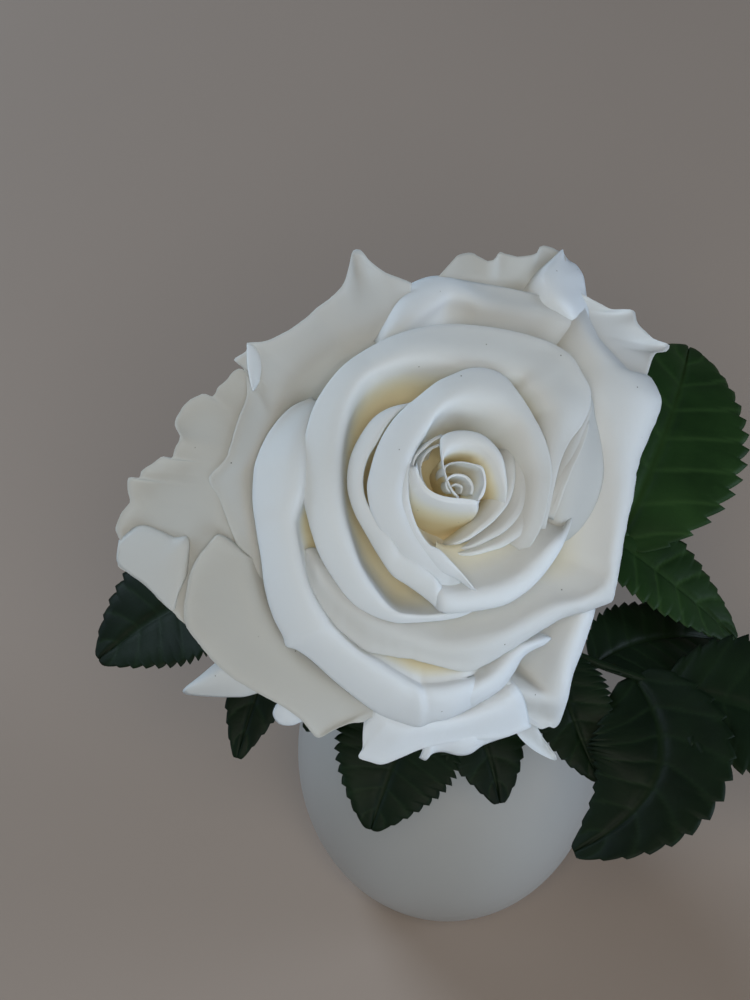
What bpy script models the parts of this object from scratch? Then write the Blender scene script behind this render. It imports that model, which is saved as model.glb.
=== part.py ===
"""A single white rose standing in a small rounded pot.

Metres, +Z up. The origin is the centre of the pot's flat base. The bloom has a frame of its own:
its axis leans away from the vertical, and every petal is drawn in that frame, in millimetres, by
the angle round the axis, the distance from it and the height above the bloom's base.
"""
import math

import bmesh
import bpy
from mathutils import Matrix, Vector

MM = 0.001
SHARP_ANGLE = math.radians(50)
GAP = 0.3                      # clearance between neighbouring pieces, mm

# pot: an egg cut off flat below and open above
EGG_RADIUS = 35.0              # widest half width
EGG_HALF_HEIGHT = 49.7
EGG_CENTRE_Z = 38.8
POT_HEIGHT = 78.0
POT_WALL = 3.0
POT_FLOOR = 4.0
POT_SIDES = 36

# foam plug inside the pot
FOAM_TOP = 70.0

# stem
STEM_RADIUS = 2.6
STEM_SIDES = 12
STEM_FOOT_Z = 22.0             # how deep the stem is pushed into the foam
STEM_END = 2.0                 # straight end of the stem, square to the hip
HIP_LENGTH = 9.0               # swelling below the petals

# bloom frame
BLOOM_BASE = Vector((-18.1, -6.2, 137.9))
BLOOM_AXIS = Vector((0.352, -0.470, 0.809)).normalized()
CROWN = 50.0                   # height of the innermost rims above the bloom's base
SEAT_RADIUS = 5.0              # flat seat of the bloom on the hip
CORE_RADIUS = 30.0             # solid core that the petals stand out of
CORE_HEIGHT = 38.0
CORE_SIDES = 12
ROOT_SHARE = 0.7               # how far out an inner petal's root lies in the core
ROOT_DEPTH = 3.0               # how deep it lies below the core's top
OUTER_LAYER = 8                # from this layer on the petals root deep in the core
OUTER_ROOT = (15.0, 17.0)      # their root's radius and height, the first layer's
ROOT_STEP = 1.1                # and how much lower each further layer's root lies
NEST = 0.9                     # least distance between the ridges of petals on top of each other
PETAL_THICKNESS = 0.7
WIDE_LIP = 3.0                 # a wider lip gets a second row of faces

# leaves
LEAF_THICKNESS = 0.7
LEAF_TEETH = 7                 # a side
LEAF_CUP = 0.12                # how far a leaflet's sides lift, of its half width
RACHIS_RADIUS = 1.1


def clear_scene():
    for old in list(bpy.data.objects):
        bpy.data.objects.remove(old, do_unlink=True)
    for old in list(bpy.data.meshes):
        bpy.data.meshes.remove(old)


def finish_of(name, colour, roughness):
    material = bpy.data.materials.new(name)
    material.use_nodes = True
    shader = material.node_tree.nodes["Principled BSDF"]
    shader.inputs["Base Color"].default_value = (*colour, 1.0)
    shader.inputs["Roughness"].default_value = roughness
    shader.inputs["Metallic"].default_value = 0.0
    return material


def object_from(name, points, faces, material):
    """A mesh object from points in millimetres."""
    mesh = bpy.data.meshes.new(name)
    mesh.from_pydata([Vector(p) * MM for p in points], [], faces)
    mesh.validate()
    obj = bpy.data.objects.new(name, mesh)
    bpy.context.scene.collection.objects.link(obj)
    mesh.materials.append(material)
    mesh.shade_smooth()
    mesh.set_sharp_from_angle(angle=SHARP_ANGLE)
    return obj


def shells_of(bm):
    """Sets of faces that hold together."""
    left = set(bm.faces)
    shells = []
    while left:
        first = left.pop()
        shell = {first}
        border = [first]
        while border:
            face = border.pop()
            for edge in face.edges:
                for other in edge.link_faces:
                    if other in left:
                        left.remove(other)
                        shell.add(other)
                        border.append(other)
        shells.append(shell)
    return shells


def shell_volume(shell):
    total = 0.0
    for face in shell:
        corners = [v.co for v in face.verts]
        for i in range(1, len(corners) - 1):
            total += corners[0].dot(corners[i].cross(corners[i + 1])) / 6.0
    return total


def keep_outer_shell(obj):
    """Fills closed hollows and drops loose scraps, so that one body is left."""
    bm = bmesh.new()
    bm.from_mesh(obj.data)
    shells = shells_of(bm)
    body = max(shells, key=shell_volume)
    spare = [face for shell in shells if shell is not body for face in shell]
    bmesh.ops.delete(bm, geom=spare, context="FACES")
    bm.to_mesh(obj.data)
    bm.free()


def fuse(body, pieces):
    """Joins the pieces to the body by one union and removes them."""
    if pieces:
        group = bpy.data.collections.new(body.name + "_pieces")
        for piece in pieces:
            group.objects.link(piece)
        union = body.modifiers.new("union", "BOOLEAN")
        union.operation = "UNION"
        union.operand_type = "COLLECTION"
        union.collection = group
        union.solver = "MANIFOLD"
        evaluated = body.evaluated_get(bpy.context.evaluated_depsgraph_get())
        fused = bpy.data.meshes.new_from_object(evaluated)
        body.modifiers.clear()
        body.data = fused
        for piece in pieces:
            bpy.data.objects.remove(piece, do_unlink=True)
        bpy.data.collections.remove(group)
    keep_outer_shell(body)
    return body


def catmull(knots, values, x):
    """Smooth curve through the values at rising knots."""
    last = len(knots) - 1
    x = min(max(x, knots[0]), knots[-1])
    i = 0
    while i < last - 1 and x > knots[i + 1]:
        i += 1

    def slope(k):
        low = max(k - 1, 0)
        high = min(k + 1, last)
        return (values[high] - values[low]) / (knots[high] - knots[low])

    width = knots[i + 1] - knots[i]
    t = (x - knots[i]) / width
    return ((2 * t**3 - 3 * t**2 + 1) * values[i] + (t**3 - 2 * t**2 + t) * width * slope(i)
            + (3 * t**2 - 2 * t**3) * values[i + 1] + (t**3 - t**2) * width * slope(i + 1))


def bezier(a, b, c, d, t):
    s = 1.0 - t
    return s**3 * a + 3 * s * s * t * b + 3 * s * t * t * c + t**3 * d


def blade(name, grid, thickness, material):
    """A closed thin solid round a grid of points: rows run along it, columns across it."""
    rows = len(grid)
    columns = len(grid[0])
    upper = []
    lower = []
    for j in range(rows):
        for i in range(columns):
            along = grid[min(j + 1, rows - 1)][i] - grid[max(j - 1, 0)][i]
            across = grid[j][min(i + 1, columns - 1)] - grid[j][max(i - 1, 0)]
            normal = across.cross(along).normalized()
            upper.append(grid[j][i] + normal * thickness / 2)
            lower.append(grid[j][i] - normal * thickness / 2)
    count = rows * columns
    faces = []
    for j in range(rows - 1):
        for i in range(columns - 1):
            a = j * columns + i
            b = a + 1
            c = a + columns
            d = c + 1
            faces.append((a, b, d))
            faces.append((a, d, c))
            faces.append((a + count, d + count, b + count))
            faces.append((a + count, c + count, d + count))
    rim = [i for i in range(columns)]
    rim += [j * columns + columns - 1 for j in range(1, rows)]
    rim += [(rows - 1) * columns + i for i in range(columns - 2, -1, -1)]
    rim += [j * columns for j in range(rows - 2, 0, -1)]
    for k, a in enumerate(rim):
        b = rim[(k + 1) % len(rim)]
        faces.append((a, a + count, b + count))
        faces.append((a, b + count, b))
    return object_from(name, upper + lower, faces, material)


def tube(name, path, radii, sides, material):
    """A closed tube along a path of points, with a radius at each."""
    points = []
    faces = []
    side = Vector((1.0, 0.0, 0.0))
    last = len(path) - 1
    for k, (place, radius) in enumerate(zip(path, radii)):
        along = (path[min(k + 1, last)] - path[max(k - 1, 0)]).normalized()
        side = (side - along * side.dot(along)).normalized()
        other = along.cross(side)
        for i in range(sides):
            turn = 2 * math.pi * i / sides
            points.append(place + (side * math.cos(turn) + other * math.sin(turn)) * radius)
    for k in range(last):
        for i in range(sides):
            a = k * sides + i
            b = k * sides + (i + 1) % sides
            faces.append((a, b, b + sides, a + sides))
    faces.append(tuple(reversed(range(sides))))
    faces.append(tuple(range(last * sides, last * sides + sides)))
    return object_from(name, points, faces, material)


def turned(name, profile, sides, material):
    """A solid of revolution round Z from (radius, height) pairs that start and end on the axis."""
    points = []
    rings = []
    for radius, height in profile:
        if radius == 0.0:
            rings.append([len(points)])
            points.append(Vector((0.0, 0.0, height)))
        else:
            rings.append(list(range(len(points), len(points) + sides)))
            for i in range(sides):
                turn = 2 * math.pi * i / sides
                points.append(Vector((radius * math.cos(turn), radius * math.sin(turn), height)))
    faces = []
    for low, high in zip(rings, rings[1:]):
        for i in range(sides):
            k = (i + 1) % sides
            if len(low) == 1 and len(high) > 1:
                faces.append((low[0], high[k], high[i]))
            elif len(high) == 1 and len(low) > 1:
                faces.append((low[i], low[k], high[0]))
            elif len(low) > 1:
                faces.append((low[i], low[k], high[k], high[i]))
    return object_from(name, points, faces, material)


# Bloom

def dome(radius, angle, layer):
    """Height of a layer of the open bloom; its upper right side stays less reflexed."""
    lift = 0.005 * radius**2 * max(0.0, math.cos(math.radians(angle - 35)))
    return CROWN - 2.0 * (radius / 20.0) ** 2.4 + lift - 0.8 * layer - 0.025 * layer**2


def core_top(radius):
    return CORE_HEIGHT - 0.011 * radius**2


def petal(layer, rows, rise=0.0, tuck=1.0, lean=0.0, bend=0.45, centre=(0.0, 0.0)):
    """rows: (angle, radius of the ridge, radius of the edge) from one side edge to the other.

    The ridge is where the petal's inner face turns over into its rolled lip. layer counts from
    the heart outwards, rise lifts the petal above its layer, tuck lowers its lip's edge, lean is
    the wall's slope away from the axis at the ridge, bend is how full the roll is, and centre
    moves a small inner petal off the axis.
    """
    return {"layer": layer, "rows": rows, "rise": rise, "tuck": tuck, "lean": lean,
            "bend": bend, "centre": centre}


PETALS = {
    # the heart: small upright petals wound round each other
    "heart": petal(0, [(-35, 1.9, 2.2), (60, 1.9, 2.2), (150, 2.0, 2.3), (215, 1.8, 2.1)],
                   rise=-1.5, tuck=0, lean=-5, centre=(-0.8, -1.9)),
    "inner_right": petal(0, [(-50, 4.2, 4.5), (-24, 4.4, 4.7), (9, 4.6, 4.9), (40, 5.0, 5.3),
                             (64, 4.2, 4.5), (90, 3.6, 3.9), (120, 3.9, 4.2), (150, 4.6, 4.9)],
                         tuck=0, lean=-6),
    "inner_cup": petal(2, [(150, 9.4, 9.7), (166, 9.0, 9.3), (184, 8.2, 8.5), (203, 7.0, 7.3),
                           (224, 5.2, 5.5), (255, 3.8, 4.1), (290, 4.0, 4.3), (318, 4.9, 5.2),
                           (335, 5.8, 6.1)], rise=-0.5, tuck=0, lean=-32),
    "hood": petal(1, [(-5, 7.2, 8.0), (20, 7.0, 8.8), (48, 6.6, 9.3), (72, 6.4, 9.6),
                      (95, 6.4, 9.2), (116, 6.7, 8.3), (139, 5.9, 6.3), (169, 4.2, 4.5),
                      (215, 3.5, 3.8)], rise=0.3, tuck=0.5, lean=-4),
    # thin rims fanned out deep in the cup
    "fan_a": petal(2, [(280, 9.5, 9.8), (310, 10.0, 10.3), (345, 12.0, 12.3), (375, 14.0, 14.3)],
                   rise=-6, tuck=0, lean=-2),
    "fan_b": petal(2, [(268, 10.5, 10.8), (295, 11.5, 11.8), (325, 13.0, 13.3), (360, 15.0, 15.3)],
                   rise=-4, tuck=0, lean=0),
    # the cup round the heart
    "cup_left": petal(2, [(140, 9.0, 10.2), (172, 10.0, 11.8), (197, 11.0, 13.3), (227, 11.5, 14.0),
                          (250, 12.5, 15.2), (270, 13.0, 17.4), (287, 14.5, 20.2)],
                      tuck=1.2, lean=2),
    "cup_top": petal(3, [(5, 17.0, 18.0), (35, 17.0, 18.8), (53, 16.0, 19.6), (65, 14.0, 19.6),
                         (80, 12.4, 18.5), (99, 12.2, 16.5), (114, 12.6, 14.8), (130, 11.3, 12.9),
                         (150, 10.6, 12.1), (172, 10.8, 12.4), (188, 11.6, 13.0)],
                     rise=0.5, tuck=0.8, lean=6),
    "cup_low": petal(3, [(240, 12.5, 15.0), (265, 13.0, 17.5), (287, 14.3, 18.8), (306, 15.3, 20.3),
                         (324, 15.8, 21.5), (345, 16.0, 21.8), (368, 17.2, 21.0)],
                     rise=-0.4, tuck=0.5, lean=8),
    # second ring
    "ring_top": petal(4, [(20, 18.5, 20.5), (48, 17.2, 20.0), (68, 17.4, 22.6), (79, 19.0, 22.9),
                          (92, 18.0, 20.0), (109, 16.1, 18.1), (128, 14.6, 16.9), (150, 13.8, 16.6),
                          (175, 13.6, 16.4), (200, 14.1, 16.6), (225, 14.5, 16.6),
                          (245, 15.2, 16.7), (260, 16.8, 18.8)], rise=-0.6, tuck=0.8, lean=4),
    "ring_left": petal(5, [(112, 17.0, 18.0), (128, 16.4, 17.6), (146, 16.7, 19.5),
                           (170, 17.7, 20.5), (189, 18.0, 20.7), (212, 16.9, 20.9),
                           (234, 16.4, 21.1), (249, 16.9, 21.1), (266, 19.8, 23.2)],
                       tuck=1.4, lean=6),
    "ring_low": petal(6, [(256, 19.6, 22.4), (268, 20.2, 23.3), (286, 19.6, 23.6),
                          (301, 21.2, 24.8), (320, 22.0, 26.3), (337, 23.2, 27.2),
                          (352, 23.6, 27.3), (370, 24.0, 26.8)], rise=0.2, tuck=1.8, lean=14),
    "wrinkled": petal(5, [(-24, 17.8, 19.6), (-8, 17.4, 22.0), (7, 18.6, 25.0), (17, 20.0, 28.2),
                          (26, 21.4, 33.0), (34, 22.6, 36.8), (45, 23.4, 37.5), (54, 23.4, 34.6),
                          (66, 23.4, 30.0), (84, 24.0, 27.0)], rise=0.3, tuck=0.8, lean=24),
    # third ring
    "wide_left": petal(6, [(82, 26.4, 28.2), (97, 26.0, 28.4), (113, 26.0, 29.3), (128, 24.5, 29.4),
                           (143, 23.0, 28.8), (160, 22.0, 27.5), (180, 22.3, 27.5),
                           (205, 21.7, 27.8), (226, 23.5, 28.0), (247, 24.9, 27.2),
                           (262, 24.2, 26.5), (272, 23.6, 25.4)], tuck=2.2, lean=12),
    "wide_low": petal(7, [(190, 27.6, 28.6), (206, 28.3, 30.2), (223, 28.6, 31.6),
                          (237, 28.0, 33.2), (250, 27.3, 33.8), (262, 27.1, 32.4),
                          (275, 27.1, 33.4), (285, 27.2, 34.2), (298, 27.1, 32.6),
                          (314, 27.6, 32.0)], rise=-0.2, tuck=1.5, lean=28),
    "wide_right": petal(8, [(258, 29.5, 31.2), (272, 30.3, 33.0), (284, 31.5, 34.3),
                            (297, 30.8, 32.4), (313, 31.2, 33.6), (329, 33.2, 40.2),
                            (336, 34.0, 42.6), (347, 35.2, 41.0), (360, 36.5, 41.2),
                            (374, 37.8, 41.0), (390, 37.6, 40.0), (402, 38.0, 40.0)],
                        tuck=1.8, lean=38),
    "big_left": petal(8, [(108, 26.4, 28.0), (130, 26.6, 28.6), (143, 27.2, 29.9), (159, 28.6, 32.4),
                          (171, 29.4, 35.2), (183, 29.3, 35.5), (196, 29.3, 35.9),
                          (208, 30.5, 37.0), (221, 31.6, 39.0), (234, 33.2, 40.2),
                          (246, 34.6, 41.4), (260, 34.9, 43.2), (271, 34.5, 43.8)],
                      rise=0.2, tuck=2.4, lean=26),
    "low_middle": petal(9, [(258, 36.0, 41.0), (270, 36.5, 43.6), (284, 36.5, 43.0),
                            (294, 35.6, 40.8), (301, 34.6, 37.4), (310, 34.0, 38.0),
                            (319, 34.2, 41.4), (328, 34.4, 39.0)], tuck=1.2, lean=42),
    # outer petals, open and reflexed
    "left_tip": petal(9, [(138, 31.0, 36.0), (150, 33.4, 37.8), (165, 35.2, 38.8),
                          (172, 35.8, 40.2), (178, 36.2, 42.6), (186, 36.6, 40.6),
                          (198, 37.0, 40.0), (210, 37.8, 40.2), (224, 38.4, 40.6)],
                      tuck=0.5, lean=44),
    "top_left": petal(10, [(84, 31.0, 38.0), (92, 31.0, 39.6), (98, 31.0, 41.6), (102, 31.0, 44.6),
                          (105, 31.0, 49.2), (109, 31.0, 46.0), (116, 31.0, 41.8),
                          (128, 31.5, 40.5), (137, 32.0, 41.6), (145, 32.5, 44.8),
                          (152, 33.0, 42.0), (160, 34.0, 38.0)], tuck=0.4, lean=42),
    "top_lip": petal(9, [(38, 35.0, 41.0), (49, 36.0, 44.4), (62, 35.0, 45.0), (72, 34.0, 43.2),
                         (82, 33.4, 41.7), (92, 33.0, 41.4), (98, 32.0, 38.5), (104, 30.4, 33.5),
                         (110, 29.6, 31.0)], tuck=0.8, lean=40),
    "top": petal(11, [(42, 40.0, 47.0), (49, 40.0, 52.0), (54, 40.0, 57.0), (62, 40.0, 58.4),
                     (68, 39.5, 52.0), (74, 39.0, 49.3), (80, 38.0, 48.4), (87, 37.0, 42.8),
                     (95, 36.0, 39.0)], tuck=0.0, lean=48),
    "top_right": petal(12, [(20, 41.0, 46.0), (27, 41.0, 51.5), (31, 41.0, 60.0), (33, 41.0, 61.5),
                           (37, 41.0, 58.5), (43, 41.0, 57.8), (48, 41.0, 53.6), (55, 40.0, 49.0)],
                       tuck=0.0, lean=48),
    "right": petal(10, [(0, 37.0, 40.0), (8, 38.0, 41.8), (13, 39.0, 44.5), (19, 40.0, 50.5),
                       (25, 40.0, 54.0), (32, 40.0, 50.0), (40, 39.0, 45.6), (50, 38.0, 44.6)],
                   tuck=1.0, lean=46),
    "low_right": petal(11, [(296, 38.0, 46.0), (302, 39.0, 51.0), (307, 39.0, 54.3),
                           (312, 37.6, 49.2), (319, 36.2, 45.0), (328, 35.0, 41.0),
                           (338, 34.0, 39.0)], tuck=0.5, lean=46),
    "low": petal(10, [(250, 38.0, 42.0), (256, 38.6, 46.0), (260, 39.0, 50.6), (264, 39.0, 51.2),
                     (272, 38.5, 48.5), (282, 38.0, 47.8), (291, 38.0, 48.6), (299, 38.0, 51.2),
                     (305, 37.5, 46.0)], tuck=0.8, lean=46),
    "low_left": petal(11, [(184, 36.0, 38.0), (192, 36.5, 41.5), (198, 37.2, 46.8),
                          (206, 38.0, 50.4), (220, 38.0, 50.4), (236, 37.2, 48.6),
                          (243, 37.4, 49.2), (248, 37.5, 49.8), (252, 37.5, 46.4),
                          (262, 37.0, 42.0)], tuck=0.8, lean=46),
    "left_fold": petal(11, [(140, 34.0, 40.0), (149, 35.0, 43.0), (157, 36.0, 44.8),
                           (166, 36.0, 42.0), (174, 36.0, 39.0)], tuck=0.0, lean=46),
    "left": petal(12, [(152, 37.0, 43.0), (160, 38.2, 47.8), (168, 39.0, 47.6), (175, 39.2, 51.0),
                      (181, 40.0, 54.8), (188, 40.0, 56.6), (194, 40.0, 57.4), (200, 40.0, 54.4),
                      (207, 39.0, 51.0), (215, 38.0, 46.0)], tuck=0.0, lean=48),
    "under_low": petal(12, [(267, 40.0, 46.0), (273, 41.0, 49.6), (281, 41.0, 50.4),
                           (290, 41.0, 48.0), (299, 40.0, 45.0)], tuck=0.5, lean=50),
    "under_right": petal(13, [(292, 40.0, 46.0), (298, 41.0, 51.0), (303, 41.0, 58.0),
                             (306, 41.0, 60.5), (309, 41.0, 54.0), (315, 40.0, 46.0)],
                         tuck=-3.0, lean=50),
    "under_left": petal(13, [(210, 40.0, 47.0), (217, 41.0, 52.0), (221, 41.0, 57.0),
                            (228, 41.0, 50.5), (238, 41.0, 50.4), (246, 40.0, 46.0)],
                        tuck=0.5, lean=50),
}


def bloom_place(angle, radius, height):
    turn = math.radians(angle)
    return Vector((radius * math.cos(turn), radius * math.sin(turn), height))


def ridge_over(shape, angle):
    """Ridge radius of a petal at an angle, or 0 where the petal doesn't reach."""
    rows = shape["rows"]
    angle = rows[0][0] + (angle - rows[0][0]) % 360.0
    for (low, ridge, _), (high, other, _) in zip(rows, rows[1:]):
        if low <= angle <= high:
            return ridge + (other - ridge) * (angle - low) / (high - low)
    return 0.0


def nested_petals():
    """The petals in the order of their layers, each ridge kept outside those above it."""
    done = []
    for name, shape in sorted(PETALS.items(), key=lambda item: item[1]["layer"]):
        above = [other for _, other in done if other["layer"] < shape["layer"]]
        rows = []
        for angle, ridge, edge in shape["rows"]:
            inside = max([ridge_over(other, angle) for other in above], default=0.0)
            ridge = max(ridge, inside + NEST)
            rows.append((angle, ridge, max(edge, ridge + 0.4)))
        done.append((name, {**shape, "rows": rows}))
    return done


def petal_grid(shape, wall_rows, lip_rows):
    """Points of one petal, from its root in the core up the wall and over the rolled lip."""
    rows = shape["rows"]
    layer = shape["layer"]
    middle = (rows[0][0] + rows[-1][0]) / 2
    offset = Vector((*shape["centre"], 0.0))
    out = math.sin(math.radians(shape["lean"]))
    up = math.cos(math.radians(shape["lean"]))
    grid = [[] for _ in range(wall_rows + lip_rows + 1)]
    for angle, ridge, edge in rows:
        ridge_height = dome(ridge, angle, layer) + shape["rise"]
        edge_height = dome(edge, angle, layer) + shape["rise"] - shape["tuck"]
        if layer < OUTER_LAYER:
            claw = 1.0
            root_radius = ROOT_SHARE * ridge
            root_height = core_top(root_radius) - ROOT_DEPTH
        else:
            claw = 0.5
            root_radius = OUTER_ROOT[0]
            root_height = OUTER_ROOT[1] - ROOT_STEP * (layer - OUTER_LAYER)
        drop = 0.42 * (ridge_height - root_height)
        swell = 0.55 * (ridge - root_radius)
        reach = shape["bend"] * (edge - ridge)
        for j in range(wall_rows + 1):
            t = j / wall_rows
            spread = claw + (1.0 - claw) * math.sin(math.pi / 2 * t)
            radius = bezier(root_radius, root_radius + swell, ridge - out * drop, ridge, t)
            height = bezier(root_height, root_height + 0.1 * drop, ridge_height - up * drop,
                            ridge_height, t)
            place = bloom_place(middle + (angle - middle) * spread, radius, height)
            grid[j].append(place + offset * t)
        for j in range(1, lip_rows + 1):
            t = j / lip_rows
            radius = bezier(ridge, ridge + out * reach, edge - 0.3 * reach, edge, t)
            height = bezier(ridge_height, ridge_height + up * reach,
                            edge_height + 0.8 * reach, edge_height, t)
            place = bloom_place(angle, radius, height)
            grid[wall_rows + j].append(place + offset)
    return grid


def bloom_matrix():
    side = Vector((1.0, 0.0, 0.0))
    side = (side - BLOOM_AXIS * side.dot(BLOOM_AXIS)).normalized()
    other = BLOOM_AXIS.cross(side)
    turn = Matrix((side, other, BLOOM_AXIS)).transposed().to_4x4()
    return Matrix.Translation(BLOOM_BASE) @ turn


def in_world(matrix, grid):
    return [[matrix @ place for place in row] for row in grid]


def place_in_bloom(obj):
    matrix = bloom_matrix()
    for vertex in obj.data.vertices:
        vertex.co = (matrix @ (vertex.co / MM)) * MM


def petal_rows(shape):
    """How many rows of faces a petal's wall and its lip have."""
    widest = max(edge - ridge for _, ridge, edge in shape["rows"])
    return 1 if shape["layer"] < OUTER_LAYER else 2, 2 if widest > WIDE_LIP else 1


def make_bloom(material):
    profile = [(0.0, GAP), (SEAT_RADIUS, GAP), (12.0, 4.0), (22.0, 11.0), (CORE_RADIUS, 20.0),
               (CORE_RADIUS, 24.0), (24.0, core_top(24.0)), (14.0, core_top(14.0)),
               (0.0, CORE_HEIGHT)]
    core = turned("bloom", profile, CORE_SIDES, material)
    place_in_bloom(core)
    pieces = []
    for name, shape in nested_petals():
        grid = in_world(bloom_matrix(), petal_grid(shape, *petal_rows(shape)))
        pieces.append(blade("petal_" + name, grid, PETAL_THICKNESS, material))
    return fuse(core, pieces)


# Calyx

def make_calyx(material):
    """The hip below the bloom with its five sepals bent back."""
    profile = [(0.0, -HIP_LENGTH), (STEM_RADIUS, -HIP_LENGTH), (4.2, -7.0), (5.2, -4.0),
               (5.4, -1.5), (6.0, 0.0), (0.0, 0.0)]
    hip = turned("calyx", profile, 12, material)
    place_in_bloom(hip)
    sepals = []
    for k in range(5):
        grid = []
        for j in range(7):
            t = j / 6
            radius = bezier(4.6, 11.0, 17.0, 19.0, t)
            height = bezier(-1.2, -0.8, -6.0, -18.0, t)
            half = 3.4 * (1.0 - t) ** 0.7 * (0.75 + 0.9 * t) + 0.35
            row = []
            for side in (-1.0, 0.0, 1.0):
                turn = 72 * k + 20 + math.degrees(side * half / radius)
                row.append(bloom_place(turn, radius, height - 0.7 * abs(side)))
            grid.append(row)
        sepals.append(blade("sepal", in_world(bloom_matrix(), grid), LEAF_THICKNESS, material))
    return fuse(hip, sepals)


# Stem

def stem_place(t):
    """Centre line of the stem: upright from its foot to the bend, then over to the hip."""
    foot = Vector((0.0, 0.0, STEM_FOOT_Z))
    bend = Vector((0.0, 0.0, 90.0))
    top = BLOOM_BASE - BLOOM_AXIS * (HIP_LENGTH + GAP + STEM_END)
    if t < 0.5:
        return foot.lerp(bend, t * 2)
    return bezier(bend, bend + Vector((0.0, 0.0, 18.0)), top - BLOOM_AXIS * 20.0, top, t * 2 - 1)


def stem_at_height(height):
    low, high = 0.0, 1.0
    for _ in range(40):
        middle = (low + high) / 2
        if stem_place(middle).z < height:
            low = middle
        else:
            high = middle
    return stem_place(low)


def make_stem(material):
    steps = [0.0, 0.25, 0.5] + [0.5 + k / 20 for k in range(1, 11)]
    path = [stem_place(t) for t in steps]
    path.append(path[-1] + BLOOM_AXIS * STEM_END)
    stem = tube("stem", path, [STEM_RADIUS] * len(path), STEM_SIDES, material)
    prickles = []
    for height, turn in ((80.0, 200.0), (93.0, 320.0), (108.0, 120.0), (121.0, 230.0)):
        centre = stem_at_height(height)
        out = Vector((math.cos(math.radians(turn)), math.sin(math.radians(turn)), 0.0))
        root = centre + out * (STEM_RADIUS - 1.0)
        hook = [root, root + out * 2.4 + Vector((0, 0, -0.3)), root + out * 4.6 + Vector((0, 0, -1.6))]
        prickles.append(tube("prickle", hook, [1.5, 0.9, 0.25], 5, material))
    return fuse(stem, prickles)


# Leaves

def leaflet(base, bow, tip, width, up, material):
    """A toothed blade along a curved midrib from base over bow to tip, its sides lifted a little."""
    rows = 2 * LEAF_TEETH + 1
    grid = []
    for j in range(rows):
        t = j / (rows - 1)
        rib = base * (1 - t) ** 2 + bow * (2 * t * (1 - t)) + tip * t**2
        along = ((bow - base) * (1 - t) + (tip - bow) * t).normalized()
        across = along.cross(up).normalized()
        face = across.cross(along).normalized()
        half = width / 2 * math.sin(math.pi * (0.03 + 0.95 * t) ** 0.8) ** 0.75
        tooth = 1.06 if j % 2 else 0.92
        half = max(half * tooth, 0.6)
        grid.append([rib + across * (side * half) + face * (LEAF_CUP * half * abs(side))
                     for side in (-1.0, 0.0, 1.0)])
    return blade("leaflet", grid, LEAF_THICKNESS, material)


LEAVES = {
    # rachis: height on the stem, then its route; leaflets: base, bow, tip, width, way up
    "leaf_right_high": {
        "stem": 118.0,
        "route": [(2, 14, 114), (24, 18, 106), (38, 16, 101)],
        "leaflets": [((36, 14, 101), (51, 44, 112), (57, 79, 92), 38, (0.2, -0.2, 1)),
                     ((30, 17, 104), (46, 8, 100), (62, -1, 86), 24, (0.1, 0.2, 1)),
                     ((16, 17, 109), (20, 34, 112), (22, 56, 104), 22, (-0.1, 0, 1))],
    },
    "leaf_right_low": {
        "stem": 100.0,
        "route": [(12, -8, 100), (30, -14, 96), (46, -18, 92)],
        "leaflets": [((45, -18, 92), (64, -22, 96), (92, -34, 80), 34, (0.1, 0, 1)),
                     ((38, -16, 94), (52, -44, 96), (24, -53, 84), 30, (0, 0, 1)),
                     ((30, -14, 96), (42, -2, 93), (60, 4, 79), 20, (0.2, 0, 1)),
                     ((22, -12, 98), (22, -26, 98), (30, -38, 88), 18, (0, 0, 1))],
    },
    "leaf_front": {
        "stem": 96.0,
        "route": [(-4, -12, 97), (-6, -20, 96), (-8, -26, 94)],
        "leaflets": [((-8, -25, 94), (-13, -34, 94), (-18, -46, 81), 27, (0, -0.1, 1)),
                     ((-5, -19, 96), (6, -27, 98), (9, -42, 85), 22, (0.1, -0.1, 1)),
                     ((-5, -18, 96), (-20, -20, 100), (-32, -28, 92), 16, (0, 0, 1))],
    },
    "leaf_left": {
        "stem": 100.0,
        "route": [(-22, -4, 101), (-36, -3, 104), (-47, -1, 106)],
        "leaflets": [((-47, -1, 106), (-60, -4, 107), (-76, -13, 96), 31, (-0.2, -0.1, 1)),
                     ((-33, -3, 103), (-40, -16, 104), (-46, -34, 90), 17, (0, 0, 1)),
                     ((-36, -2, 104), (-44, 16, 110), (-48, 34, 107), 20, (0, 0.1, 1))],
    },
}


def make_leaf(name, leaf, material):
    route = [Vector(place) for place in leaf["route"]]
    seat = stem_at_height(leaf["stem"])
    along = (stem_at_height(leaf["stem"] + 1.0) - seat).normalized()
    heading = route[0] - seat
    heading = (heading - along * heading.dot(along)).normalized()
    start = seat + heading * (STEM_RADIUS + GAP)
    knots = [0.0, 0.4, 0.75, 1.0]
    places = [start + heading * 2.0] + route
    path = [start]
    for k in range(7):
        t = k / 6
        path.append(Vector([catmull(knots, [place[i] for place in places], t) for i in range(3)]))
    radii = [RACHIS_RADIUS * (1.25 - 0.5 * k / 7) for k in range(8)]
    rachis = tube(name, path, radii, 6, material)
    blades = []
    for base, bow, tip, width, up in leaf["leaflets"]:
        blades.append(leaflet(Vector(base), Vector(bow), Vector(tip), width, Vector(up), material))
    return fuse(rachis, blades)


# Pot and foam

def egg_radius(height, inset=0.0):
    level = (height - EGG_CENTRE_Z) / (EGG_HALF_HEIGHT - inset)
    return (EGG_RADIUS - inset) * math.sqrt(max(0.0, 1.0 - level**2))


def arc_heights(low, high, steps):
    return [low + (high - low) * (1 - math.cos(math.pi * k / steps)) / 2 for k in range(steps + 1)]


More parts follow.
